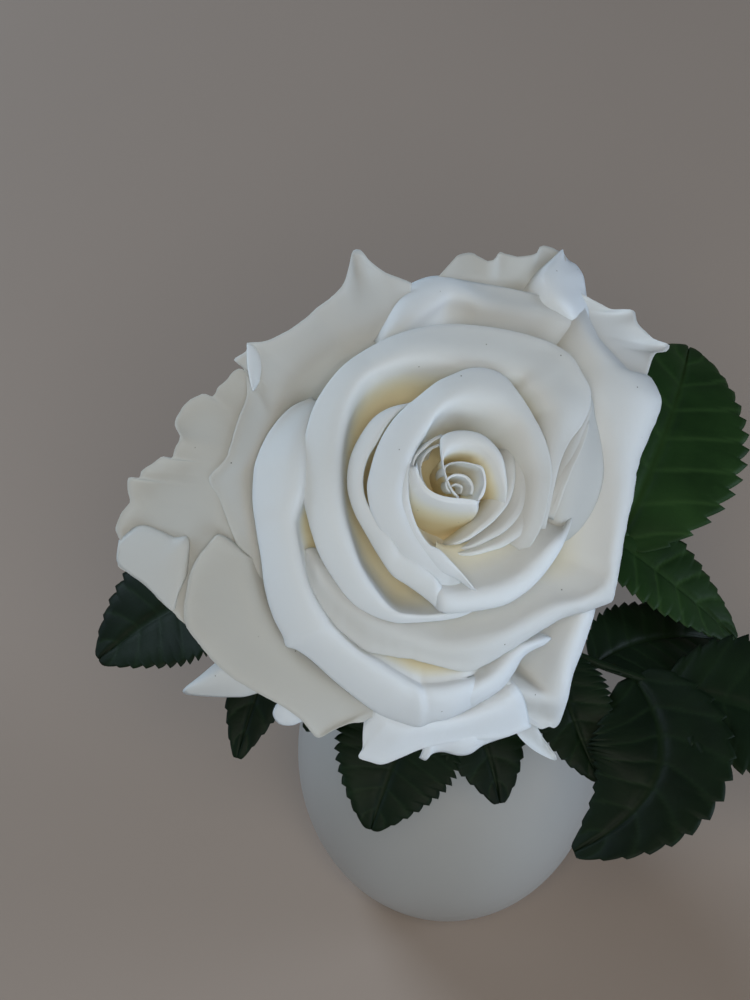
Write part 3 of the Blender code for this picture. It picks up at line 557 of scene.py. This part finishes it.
outer_petal("low_left", 11, [
    (246, 552, 229, 540, -2.4), (249, 556, 218, 534.5), (251, 562, 206, 547), (254, 574, 193, 566),
    (258, 588, 186, 592), (262, 602, 184, 612), (268, 616, 187, 628), (276, 630, 200, 645),
    (286, 644, 216, 664), (298, 657, 236, 680), (312, 668, 258, 693), (326, 678, 280, 705),
    (338, 686, 302, 721), (346, 692, 311, 732), (354, 697, 318, 738), (364, 702, 332, 731),
    (376, 706, 348, 724), (388, 710, 364, 722)
], rise=0.5, tuck=-3.5, lean=64, bend=0.3, fray=0.2, hang=5, tone=1)
outer_petal("low_right", 11, [
    (498, 674, 504, 703, -0.4, 1), (508, 680, 518, 718, 0, 1), (516, 684, 534, 725, 0, 1),
    (524, 687, 541, 728.5, 0, 1), (532, 689, 549, 726, 0, 0.9), (540, 690, 554, 727.5, 0, 0.6),
    (546, 686, 559, 723, 0, 0.3), (552, 671, 565, 706), (559, 650, 572, 677), (567, 631, 580, 655),
    (575, 617, 588, 632), (582, 606, 595, 610)
], tuck=0.6, lean=46, curl=0.15)
outer_petal("left", 12, [
    (262, 392, 252, 378), (256, 400, 240, 368), (252, 408, 228, 378), (248, 414, 218, 388),
    (245, 420, 212, 396), (243, 426, 204, 394), (241, 431, 190, 400), (240, 437, 179, 412),
    (239, 443, 175, 424), (238, 450, 180, 438), (237, 457, 174, 450), (236, 463, 171, 458.5),
    (235, 468, 163, 457), (234, 475, 152, 464), (233, 482, 141, 471), (232, 488, 139, 478),
    (232, 494, 129, 478), (232, 500, 128, 490), (233, 508, 129, 502), (234, 516, 120, 516),
    (235, 526, 116, 530), (236, 536, 121, 546), (238, 548, 117, 563), (240, 560, 122, 569),
    (242, 574, 140, 580), (245, 590, 165, 605), (249, 606, 184, 624)
], rise=1, tuck=-4.4, lean=74, bend=0.25, fray=0.3, hang=-8, tone=1.1)
outer_petal("top_right", 12, [
    (600, 380, 640, 390), (604, 372, 648, 374), (600, 360, 652, 360), (596, 352, 657, 352.5),
    (592, 346, 667, 351), (590, 342, 669, 345), (588, 338, 655, 339), (585, 333, 644, 330),
    (582, 328, 637, 322), (580, 322, 634, 311), (577, 316, 622, 309.5), (573, 310, 611, 309),
    (568, 304, 598, 302), (562, 298, 586, 296), (556, 292, 576, 290)
], tuck=-3.5, lean=64, bend=0.3, fray=0.2, hang=-8, tone=0.5)
outer_petal("under_low", 12, [
    (420, 720, 419, 757.5), (428, 722, 426, 760.5), (434, 722, 432, 754), (444, 722, 443, 752),
    (456, 722, 458, 755.5), (468, 720, 470, 754), (480, 718, 484, 745), (496, 714, 510, 736)
], tuck=-0.6, lean=60, thick=0.16)
outer_petal("under_right", 13, [
    (508, 712, 516, 733), (513, 714, 524, 742), (518, 715, 535, 751), (521, 715, 548, 758),
    (523, 714, 556, 760.5), (524, 712, 556.5, 757), (525, 710, 549, 746), (526, 708, 541, 735),
    (528, 706, 534, 727)
], tuck=0, lean=84, wave=0.05, bend=0.2, hang=0, thick=0.16, tone=0.4)
outer_petal("under_left", 13, [
    (240, 640, 214, 664), (244, 648, 200, 676), (248, 656, 183, 690.5), (254, 664, 190, 695),
    (262, 672, 240, 697), (270, 678, 258, 693)
], tuck=0.5, lean=50, tone=0.5)
outer_petal("under_tip", 13, [
    (284, 690, 276, 705), (290, 696, 273, 714), (296, 702, 279, 723.5), (302, 708, 291, 725.5),
    (310, 712, 303, 721)
], tuck=0.5, lean=50)


def petal_knots(rows):
    """How far along the petal each row lies, in pixels, as a mean of its ridge and its edge."""
    knots = [0.0]
    for before, row in zip(rows, rows[1:]):
        ridge_step = hypot(row[0] - before[0], row[1] - before[1])
        edge_step = hypot(row[2] - before[2], row[3] - before[3])
        knots.append(knots[-1] + 0.5 * edge_step + 0.5 * ridge_step)
    return knots


def petal_root(shape, ridge, middle):
    """Place where a column of the petal starts; an outer petal's root is narrower than its edge."""
    turn = atan2(ridge.y, ridge.x)
    share, added = shape["foot"]
    root_radius = share * hypot(ridge.x, ridge.y) + added
    if share == 0.0:
        turn = middle + 0.45 * ((turn - middle + pi) % (2 * pi) - pi)
    return polar(root_radius, turn, shape["deep"])


def petal_column(shape, seed, middle, along, ends, values):
    """Places and depths of one column, from the root up the wall, over the lip and its curl."""
    x, y, edge_x, edge_y, lift, flat = values
    tuck = shape["tuck"] + (OPEN_TUCK - shape["tuck"]) * flat
    lean = radians(shape["lean"] + (OPEN_LEAN - shape["lean"]) * flat)
    hang = radians(shape["hang"] * (1.0 - flat))
    sunk = shape["rise"] + lift - END_SINK * (1.0 - smooth(0.0, END_SHARE, ends))
    ridge = seen(x, y, shape["layer"], sunk)
    edge = seen(edge_x, edge_y, shape["layer"], sunk, tuck)
    angle = atan2(ridge.y, ridge.x)
    way = (polar(1.0, angle) + Vector((edge.x - ridge.x, edge.y - ridge.y, 0.0)) * 0.3).normalized()
    ragged = rough(along * RAGGED, seed) + 0.4 * rough(along * FINE_RAGGED, seed)
    edge = edge + way * (shape["fray"] * ragged)
    places = []
    depths = []

    # the wall, full at its foot and leaning at the ridge
    root = petal_root(shape, ridge, middle)
    drop = 0.42 * (ridge.z - root.z)
    up = way * sin(lean) + UP * cos(lean)
    low = ridge - up * drop
    swell = root.lerp(Vector((ridge.x, ridge.y, root.z)), 0.55)
    swell.z = root.z + 0.1 * drop
    for j in range(WALL_ROWS + 1):
        t = j / WALL_ROWS
        place = bezier(root, swell, low, ridge, t)
        ripple = 0.6 * shape["wave"] * t * t * rough(place.x * RIPPLE, place.y * RIPPLE, seed)
        places.append(place + way * ripple)
        # depth from the ridge, which the material paints as cream and painted shade deeper in the
        # cup
        depths.append((ridge - place).length * shape["warm"])

    # the lip, rolled over the ridge and down to the edge
    length = (edge - ridge).length
    reach = shape["bend"] * length
    before = edge - way * (cos(hang) * reach) + UP * (sin(hang) * reach)
    for j in range(1, LIP_ROWS + 1):
        t = j / LIP_ROWS
        place = bezier(ridge, ridge + up * reach, before, edge, t)
        ripple = shape["wave"] * (0.3 + t) * rough(place.x * RIPPLE, place.y * RIPPLE, seed)
        fine = rough(place.x * FINE_RIPPLE, place.y * FINE_RIPPLE, seed)
        fine = 0.3 * shape["wave"] * t * t * fine
        places.append(place + UP * (ripple + fine))
        # the lip's depth runs below zero, which the material paints as a bluish painted highlight
        depths.append(-t * length)

    # the edge, curled under
    if shape["curl"]:
        place = places[-1]
        step = place - places[-2]
        heading = atan2(step.z, step.dot(way))
        for _ in range(CURL_ROWS):
            heading -= CURL_TURN
            place = place + way * (cos(heading) * shape["curl"] * CURL_STEP)
            place = place + UP * (sin(heading) * shape["curl"] * CURL_STEP)
            places.append(place)
            depths.append(-length)
    return places, depths


def petal_surface(shape, seed):
    """Grids of a petal's points, depths and tones, each row of them from one end to the other."""
    rows = [(*row, 0.0, 0.0)[:6] for row in shape["rows"]]
    knots = petal_knots(rows)
    columns = max(FEWEST_COLUMNS, round(knots[-1] * PIXEL_WIDTH / COLUMN_WIDTH))
    centre = rows[len(rows) // 2]
    centre = seen(centre[0], centre[1], shape["layer"], shape["rise"])
    middle = atan2(centre.y, centre.x)
    places = []
    depths = []
    tones = []
    for i in range(columns + 1):
        s = i / columns
        along = s * knots[-1]
        values = [catmull(knots, [row[k] for row in rows], along) for k in range(6)]
        column, depth = petal_column(shape, seed, middle, along, min(s, 1.0 - s), values)
        flat = values[5]
        places.append(column)
        depths.append(depth)
        # open lips are greyed further through their tone, which is painted shade
        tones.append([shape["tone"] + OPEN_TONE * flat * (1.0 - shape["tone"])] * len(column))
    return list(zip(*places)), list(zip(*depths)), list(zip(*tones))


# each piece of the bloom and the layer that ends it
PETAL_PIECES = {"heart": 3, "inner": 7, "middle": 11, "outer": 14}


def make_bloom(material):
    order = sorted(PETALS.values(), key=lambda shape: shape["layer"])
    pieces = []
    seed = 0
    for name, last in PETAL_PIECES.items():
        mesh = Mesh()
        while seed < len(order) and order[seed]["layer"] < last:
            shape = order[seed]
            grid, depth, tone = petal_surface(shape, seed * 3.7)
            grid = [[BLOOM_MATRIX @ place for place in row] for row in grid]
            mesh.blade(grid, depth, shape["thick"], tone)
            seed += 1
        if name == "heart":
            core = [(0, GAP), (SEAT_RADIUS, GAP), (9, 4), (16, 11), (20, 20), (21, 30), (18, 35),
                    (12, 37), (0, 38)]
            # the core under the heart gets a large depth, so it takes the deepest cream and painted
            # shade
            mesh.turned(core, 48, BLOOM_MATRIX, value=30.0)
        pieces.append(mesh.make("petals_" + name, material))
    return pieces


# Calyx and stem

SEPALS = 5
SEPAL_ROWS = 40
SEPAL_COLUMNS = 12
SEPAL_TURN = 20


def add_sepal(mesh, k):
    """One bent-back sepal, pointed and a little ragged, folded along its middle."""
    grid = []
    for j in range(SEPAL_ROWS + 1):
        t = j / SEPAL_ROWS
        radius = bezier(4.6, 11.0, 17.0, 19.0, t)
        height = bezier(-1.2, -0.8, -6.0, -18.0, t)
        half = 3.4 * (1.0 - t) ** 0.7 * (0.75 + 0.9 * t) + 0.35
        half *= 1.0 + 0.12 * rough(t * 9.0, k * 5.0)
        row = []
        for i in range(SEPAL_COLUMNS + 1):
            side = 2 * i / SEPAL_COLUMNS - 1
            turn = radians(360 / SEPALS * k + SEPAL_TURN + degrees(side * half / radius))
            sag = 0.7 * abs(side) + 0.25 * (1 - abs(side)) ** 6
            row.append(BLOOM_MATRIX @ polar(radius, turn, height - sag))
        grid.append(row)
    mesh.blade(grid, [[0.0] * (SEPAL_COLUMNS + 1) for _ in grid], LEAF_THICKNESS)


def make_calyx(material):
    mesh = Mesh()
    hip = [(0.0, -HIP_LENGTH)]
    for k in range(17):
        t = k / 16
        hip.append((bezier(STEM_RADIUS, 4.4, 6.2, 6.0, t), -HIP_LENGTH + HIP_LENGTH * t))
    hip.append((0.0, 0.0))
    mesh.turned(hip, 40, BLOOM_MATRIX)
    for k in range(SEPALS):
        add_sepal(mesh, k)
    return mesh.make("calyx_fine", material)


def stem_place(t):
    """Centre line of the stem: upright from its foot to the bend, then over to the hip."""
    foot = UP * STEM_FOOT_Z
    bend = UP * 90
    top = BLOOM_BASE - BLOOM_AXIS * (HIP_LENGTH + GAP + STEM_END)
    if t < 0.5:
        return foot.lerp(bend, t * 2)
    return bezier(bend, bend + UP * 18, top - BLOOM_AXIS * 20, top, t * 2 - 1)


def stem_at_height(height):
    low, high = 0.0, 1.0
    for _ in range(40):
        middle = (low + high) / 2
        if stem_place(middle).z < height:
            low = middle
        else:
            high = middle
    return stem_place(low)


PRICKLES = [(80, 200), (93, 320), (108, 120), (121, 230)]
PRICKLE_LENGTH = 4.4
PRICKLE_RADIUS = 1.6


def add_prickle(mesh, height, turn):
    """A small cone that points away from the stem and hooks down."""
    centre = stem_at_height(height)
    out = polar(1.0, radians(turn))
    hook = []
    radii = []
    for k in range(9):
        t = k / 8
        reach = STEM_RADIUS - 1.0 + PRICKLE_LENGTH * t
        hook.append(centre + out * reach + UP * (-1.5 * t * t))
        radii.append(PRICKLE_RADIUS * (1 - t) ** 1.3 + 0.08)
    mesh.tube(hook, radii, 14)


def make_stem(material):
    mesh = Mesh()
    path = [stem_place(k / 80) for k in range(81)]
    path.append(path[-1] + BLOOM_AXIS * STEM_END)
    radii = [STEM_RADIUS * (1 + 0.03 * rough(k * 0.3, 0.0)) for k in range(len(path))]
    mesh.tube(path, radii, 32)
    for height, turn in PRICKLES:
        add_prickle(mesh, height, turn)
    return mesh.make("stem_fine", material)


# Leaves: the height where the stalk leaves the stem, the places on its way, and the leaflets,
# each with its base, bow, tip, width and upper side

LEAVES = {
    "leaf_right_high": (118, [(2, 14, 114), (24, 18, 106), (38, 16, 101)], [
        ((36, 14, 101), (51, 44, 112), (57, 79, 92), 38, (0.2, -0.2, 1)),
        ((30, 17, 104), (46, 8, 100), (62, -1, 86), 24, (0.1, 0.2, 1)),
        ((16, 17, 109), (20, 34, 112), (22, 56, 104), 22, (-0.1, 0, 1)),
    ]),
    "leaf_right_low": (100, [(12, -8, 100), (30, -14, 96), (46, -18, 92)], [
        ((45, -18, 92), (64, -22, 96), (92, -34, 80), 34, (0.1, 0, 1)),
        ((38, -16, 94), (52, -44, 96), (24, -53, 84), 30, (0, 0, 1)),
        ((30, -14, 96), (42, -2, 93), (60, 4, 79), 20, (0.2, 0, 1)),
        ((22, -12, 98), (22, -26, 98), (30, -38, 88), 18, (0, 0, 1)),
    ]),
    "leaf_front": (96, [(-4, -12, 97), (-6, -20, 96), (-8, -26, 94)], [
        ((-8, -25, 94), (-13, -34, 94), (-18, -46, 81), 27, (0, -0.1, 1)),
        ((-5, -19, 96), (6, -27, 98), (9, -42, 85), 22, (0.1, -0.1, 1)),
        ((-5, -18, 96), (-20, -20, 100), (-32, -28, 92), 16, (0, 0, 1)),
    ]),
    "leaf_left": (100, [(-22, -4, 101), (-36, -3, 104), (-47, -1, 106)], [
        ((-47, -1, 106), (-60, -4, 107), (-76, -13, 96), 31, (-0.2, -0.1, 1)),
        ((-33, -3, 103), (-40, -16, 104), (-46, -34, 90), 17, (0, 0, 1)),
        ((-36, -2, 104), (-44, 16, 110), (-48, 34, 107), 20, (0, 0.1, 1)),
    ]),
}


def add_leaflet(mesh, base, bow, tip, width, up, seed):
    """A blade with a toothed edge, a sunken midrib and raised quilting between its side veins."""
    rows = 8 * LEAF_TEETH
    columns = 24
    grid = []
    depth = []
    for j in range(rows + 1):
        t = j / rows
        rib = base * (1 - t) ** 2 + bow * (2 * t * (1 - t)) + tip * t**2
        along = ((bow - base) * (1 - t) + (tip - bow) * t).normalized()
        across = along.cross(up).normalized()
        face = across.cross(along).normalized()
        half = width / 2 * sin(pi * (0.03 + 0.95 * t) ** 0.8) ** 0.75
        tooth = (t * LEAF_TEETH) % 1.0
        half *= 0.93 + 0.12 * tooth**0.8
        half = max(half, 0.5)
        row = []
        values = []
        for i in range(columns + 1):
            side = 2 * i / columns - 1
            reach = abs(side)
            vein = (t * LEAF_VEINS - 0.9 * reach) % 1.0
            quilt = sin(pi * vein) ** 0.5 * smooth(0.0, 0.15, reach) * (1 - 0.6 * reach)
            sunk = -0.5 * (1 - smooth(0.0, 0.1, reach))
            wave = 0.9 * reach**2 * rough(t * 3.0, side * 1.5, seed)
            lift = 0.12 * half * reach + 0.45 * quilt + sunk + wave - 0.4
            lift -= 0.03 * half * reach**4
            row.append(rib + across * (side * half) + face * lift)
            beside = min(vein, 1 - vein)
            values.append(max(1 - smooth(0.0, 0.05, reach), 1 - smooth(0.0, 0.12, beside)))
        grid.append(row)
        depth.append(values)
    mesh.blade(grid, depth, LEAF_THICKNESS)


def make_leaf(name, height, route, leaflets, material):
    route = [Vector(place) for place in route]
    seat = stem_at_height(height)
    along = (stem_at_height(height + 1.0) - seat).normalized()
    heading = route[0] - seat
    heading = (heading - along * heading.dot(along)).normalized()
    start = seat + heading * (STEM_RADIUS + GAP)
    knots = [0.0, 0.4, 0.75, 1.0]
    places = [start + heading * 2.0] + route
    path = [start]
    for k in range(31):
        place = [catmull(knots, [place[i] for place in places], k / 30) for i in range(3)]
        path.append(Vector(place))
    radii = [RACHIS_RADIUS * (1.25 - 0.5 * k / 31) for k in range(32)]
    mesh = Mesh()
    mesh.tube(path, radii, 14, value=0.5)
    for k, (base, bow, tip, width, up) in enumerate(leaflets):
        add_leaflet(mesh, Vector(base), Vector(bow), Vector(tip), width, Vector(up), k * 3.1)
    return mesh.make(name + "_fine", material)


# Pot and foam

def egg_radius(height, inset=0.0):
    level = (height - EGG_CENTRE_Z) / (EGG_HALF_HEIGHT - inset)
    return (EGG_RADIUS - inset) * sqrt(max(0.0, 1.0 - level**2))


def arc_heights(low, high, steps):
    return [low + (high - low) * (1 - cos(pi * k / steps)) / 2 for k in range(steps + 1)]


def make_pot(material):
    mesh = Mesh()
    rim = POT_WALL / 2
    edge = 1.2
    outside = [(egg_radius(z), z) for z in arc_heights(edge, POT_HEIGHT - rim, 60)]
    inside = [(egg_radius(z, POT_WALL), z) for z in arc_heights(POT_FLOOR, POT_HEIGHT - rim, 40)]
    middle = (outside[-1][0] + inside[-1][0]) / 2
    half = (outside[-1][0] - inside[-1][0]) / 2
    bow = []
    for k in range(1, 8):
        turn = pi * k / 8
        bow.append((middle + half * cos(turn), POT_HEIGHT - rim + rim * sin(turn)))
    foot = egg_radius(edge)
    low = [(foot - 1.6, 0.0), (foot - 0.9, 0.1), (foot - 0.35, 0.5)]
    mesh.turned([(0.0, 0.0)] + low + outside + bow + inside[::-1] + [(0.0, POT_FLOOR)], 128)
    return mesh.make("pot_fine", material)


def make_foam(material):
    mesh = Mesh()
    inset = POT_WALL + GAP + 0.2
    outside = [(egg_radius(z, inset), z) for z in arc_heights(POT_FLOOR + GAP, FOAM_TOP, 24)]
    hole = STEM_RADIUS + GAP
    top = [(outside[-1][0] - k * (outside[-1][0] - hole) / 12, FOAM_TOP) for k in range(1, 13)]
    profile = [(0.0, POT_FLOOR + GAP)] + outside + top
    profile += [(hole, STEM_FOOT_Z - GAP), (0.0, STEM_FOOT_Z - GAP)]
    mesh.turned(profile, 72)
    return mesh.make("foam_fine", material)


# Materials

class Paint:
    """A material round a principled shader, with short ways to add nodes and to join them."""

    def __init__(self, name, roughness, specular=0.5):
        self.material = bpy.data.materials.new(name)
        self.material.use_nodes = True
        self.nodes = self.material.node_tree.nodes
        self.shader = self.nodes["Principled BSDF"]
        self.shader.inputs["Roughness"].default_value = roughness
        self.shader.inputs["Specular IOR Level"].default_value = specular
        self.place = self.add("TexCoord", {})

    def add(self, kind, numbers):
        node = self.nodes.new("ShaderNode" + kind)
        for socket, number in numbers.items():
            node.inputs[socket].default_value = number
        return node

    def join(self, source, output, target, socket):
        self.material.node_tree.links.new(source.outputs[output], target.inputs[socket])

    def attribute(self, name):
        node = self.add("Attribute", {})
        node.attribute_name = name
        return node

    def texture(self, kind, numbers):
        """A texture that stays with the piece."""
        node = self.add("Tex" + kind, numbers)
        self.join(self.place, "Object", node, "Vector")
        return node

    def spread(self, source, output, low, high, start=0.0, end=1.0):
        node = self.add("MapRange", {"From Min": low, "From Max": high,
                                     "To Min": start, "To Max": end})
        self.join(source, output, node, "Value")
        return node

    def maths(self, operation, source, output, number):
        node = self.add("Math", {1: number})
        node.operation = operation
        self.join(source, output, node, 0)
        return node

    def ramp(self, source, output, stops):
        node = self.add("ValToRGB", {})
        while len(node.color_ramp.elements) < len(stops):
            node.color_ramp.elements.new(0.5)
        for element, (position, colour) in zip(node.color_ramp.elements, stops):
            element.position = position
            element.color = (*colour, 1.0)
        self.join(source, output, node, "Fac")
        return node

    def mix(self, under, output, colour, share, share_output, blend="MIX"):
        """Lays one colour over what lies under it, as much of it as the share says."""
        node = self.add("Mix", {})
        node.data_type = "RGBA"
        node.blend_type = blend
        node.inputs["B"].default_value = (*colour, 1.0)
        self.join(share, share_output, node, "Factor")
        self.join(under, output, node, "A")
        return node

    def grain(self, numbers, strength):
        """Fine unevenness of the surface."""
        noise_node = self.texture("Noise", numbers)
        bump = self.add("Bump", {"Strength": strength, "Distance": 0.0002})
        self.join(noise_node, "Fac", bump, "Height")
        self.join(bump, "Normal", self.shader, "Normal")
        return bump


def petal_material():
    """White, with cream deep inside that is partly its own colour and partly painted shade, a
    painted bluish highlight on the rolled lips, dust specks, and letting some light through.
    """
    paint = Paint("petal_white", 0.55, 0.3)
    depth = paint.spread(paint.attribute("depth"), "Fac", -2.0, 20.0)
    # painted light: below zero, on the rolled lips, the colour is a painted bluish highlight; deeper
    # into the cup the white turns to cream and ochre, partly the petals' own cream and partly
    # painted shade
    tint = paint.ramp(depth, "Result", [
        (0.0, (0.89, 0.925, 0.95)), (0.1, (0.90, 0.92, 0.93)), (0.22, (0.905, 0.918, 0.905)),
        (0.36, (0.91, 0.885, 0.77)), (0.5, (0.89, 0.82, 0.61)), (0.74, (0.85, 0.73, 0.45))])
    # painted shade: the thin outer petals and the open lips are multiplied greyer, darker than the
    # light alone leaves them
    grey = paint.mix(tint, "Color", (0.80, 0.772, 0.72), paint.attribute("tone"), "Fac", "MULTIPLY")
    # specks in the middle of some of the cells
    cells = paint.texture("Voronoi", {"Scale": 260.0})
    small = paint.spread(cells, "Distance", 0.02, 0.05, 1.0, 0.0)
    pick = paint.add("SeparateColor", {})
    paint.join(cells, "Color", pick, "Color")
    some = paint.maths("GREATER_THAN", pick, "Red", 0.6)
    both = paint.maths("MULTIPLY", small, "Result", 1.0)
    paint.join(some, "Value", both, 1)
    colour = paint.mix(grey, "Result", (0.2, 0.19, 0.16), both, "Value")
    paint.join(colour, "Result", paint.shader, "Base Color")
    bump = paint.grain({"Scale": 900.0, "Detail": 3.0}, 0.12)
    through = paint.add("BsdfTranslucent", {})
    paint.join(colour, "Result", through, "Color")
    paint.join(bump, "Normal", through, "Normal")
    thin = paint.add("MixShader", {"Fac": 0.45})
    paint.join(paint.shader, "BSDF", thin, 1)
    paint.join(through, "BSDF", thin, 2)
    paint.join(thin, "Shader", paint.nodes["Material Output"], "Surface")
    return paint.material


def leaf_material(name, low, high, ribs):
    """Leaf green drifting between two colours, paler along its ribs."""
    paint = Paint(name, 0.55, 0.12)
    cloud = paint.texture("Noise", {"Scale": 60.0, "Detail": 4.0})
    tint = paint.ramp(cloud, "Fac", [(0.3, low), (0.7, high)])
    half = paint.maths("MULTIPLY", paint.attribute("depth"), "Fac", 0.5)
    colour = paint.mix(tint, "Color", ribs, half, "Value")
    paint.join(colour, "Result", paint.shader, "Base Color")
    paint.grain({"Scale": 1500.0}, 0.15)
    return paint.material


def cloudy_material(name, low, high, scale, roughness):
    """A plain finish whose colour drifts a little."""
    paint = Paint(name, roughness)
    cloud = paint.texture("Noise", {"Scale": scale, "Detail": 5.0})
    tint = paint.ramp(cloud, "Fac", [(0.35, low), (0.65, high)])
    paint.join(tint, "Color", paint.shader, "Base Color")
    return paint.material


# Camera, light and floor

def make_camera():
    camera = bpy.data.cameras.new("camera")
    camera.sensor_width = 36.0
    camera.lens = camera.sensor_width * PICTURE_FOCUS / PICTURE_HEIGHT
    camera.clip_start = 0.01
    obj = place_object("camera", camera)
    turn = Matrix((CAMERA_RIGHT, CAMERA_UP, -CAMERA_AHEAD)).transposed()
    obj.matrix_world = Matrix.Translation(CAMERA_PLACE * MM) @ turn.to_4x4()
    bpy.context.scene.camera = obj


def make_lights():
    for azimuth, elevation, power, colour in LIGHTS:
        light = bpy.data.lights.new("softbox", "AREA")
        light.shape = "DISK"
        light.size = LIGHT_SIZE
        light.energy = power
        light.color = colour
        obj = place_object("softbox", light)
        turn = radians(azimuth)
        rise = radians(elevation)
        way = polar(cos(rise), turn, sin(rise))
        obj.location = LIGHT_CENTRE + way * LIGHT_DISTANCE
        obj.rotation_euler = (-way).to_track_quat("-Z", "Y").to_euler()
    world = bpy.data.worlds.new("sky")
    world.use_nodes = True
    sky = world.node_tree.nodes["Background"].inputs
    sky["Color"].default_value = SKY_COLOUR
    sky["Strength"].default_value = SKY_STRENGTH
    bpy.context.scene.world = world


def make_floor(material):
    mesh = bpy.data.meshes.new("floor")
    size = FLOOR_HALF
    mesh.from_pydata([(-size, -size, 0), (size, -size, 0), (size, size, 0), (-size, size, 0)], [],
                     [(0, 1, 2, 3)])
    mesh.materials.append(material)
    obj = place_object("floor", mesh)


def stand_for(piece, node):
    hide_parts(node)
    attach(piece, "root")


make_camera()
make_lights()
make_floor(cloudy_material("floor_grey", (0.285, 0.228, 0.187), (0.305, 0.245, 0.202), 3.0, 0.7))
stem_green = cloudy_material("stem_green", (0.05, 0.10, 0.035), (0.09, 0.14, 0.05), 90.0, 0.5)
for piece in make_bloom(petal_material()):
    stand_for(piece, "bloom")
stand_for(make_calyx(stem_green), "calyx")
stand_for(make_stem(stem_green), "stem")
# painted light: one leaf green in two copies, a lit one for the leaf up on the right and a
# near-black painted-shade one for the leaves in the shade under the bloom
lit_leaf_green = leaf_material("lit_leaf_green", (0.006, 0.019, 0.004), (0.016, 0.044, 0.010),
                            (0.03, 0.068, 0.018))
shaded_leaf_green = leaf_material("shaded_leaf_green", (0.002, 0.006, 0.002), (0.006, 0.015, 0.005),
                           (0.011, 0.024, 0.009))
for leaf_name, leaf_shape in LEAVES.items():
    # the leaf up on the right takes the lit copy, the others the painted-shade copy
    leaf_green = lit_leaf_green if leaf_name == "leaf_right_high" else shaded_leaf_green
    stand_for(make_leaf(leaf_name, *leaf_shape, leaf_green), leaf_name)
# painted shade: the white pot is given a mid grey, standing in for the shade of the bloom over it
glaze = cloudy_material("pot_glaze", (0.31, 0.31, 0.30), (0.335, 0.335, 0.322), 12.0, 0.3)
stand_for(make_pot(glaze), "pot")
foam_green = cloudy_material("foam_green", (0.03, 0.055, 0.025), (0.05, 0.08, 0.035), 300.0, 0.95)
stand_for(make_foam(foam_green), "foam")
bpy.context.scene.view_settings.view_transform = "Standard"
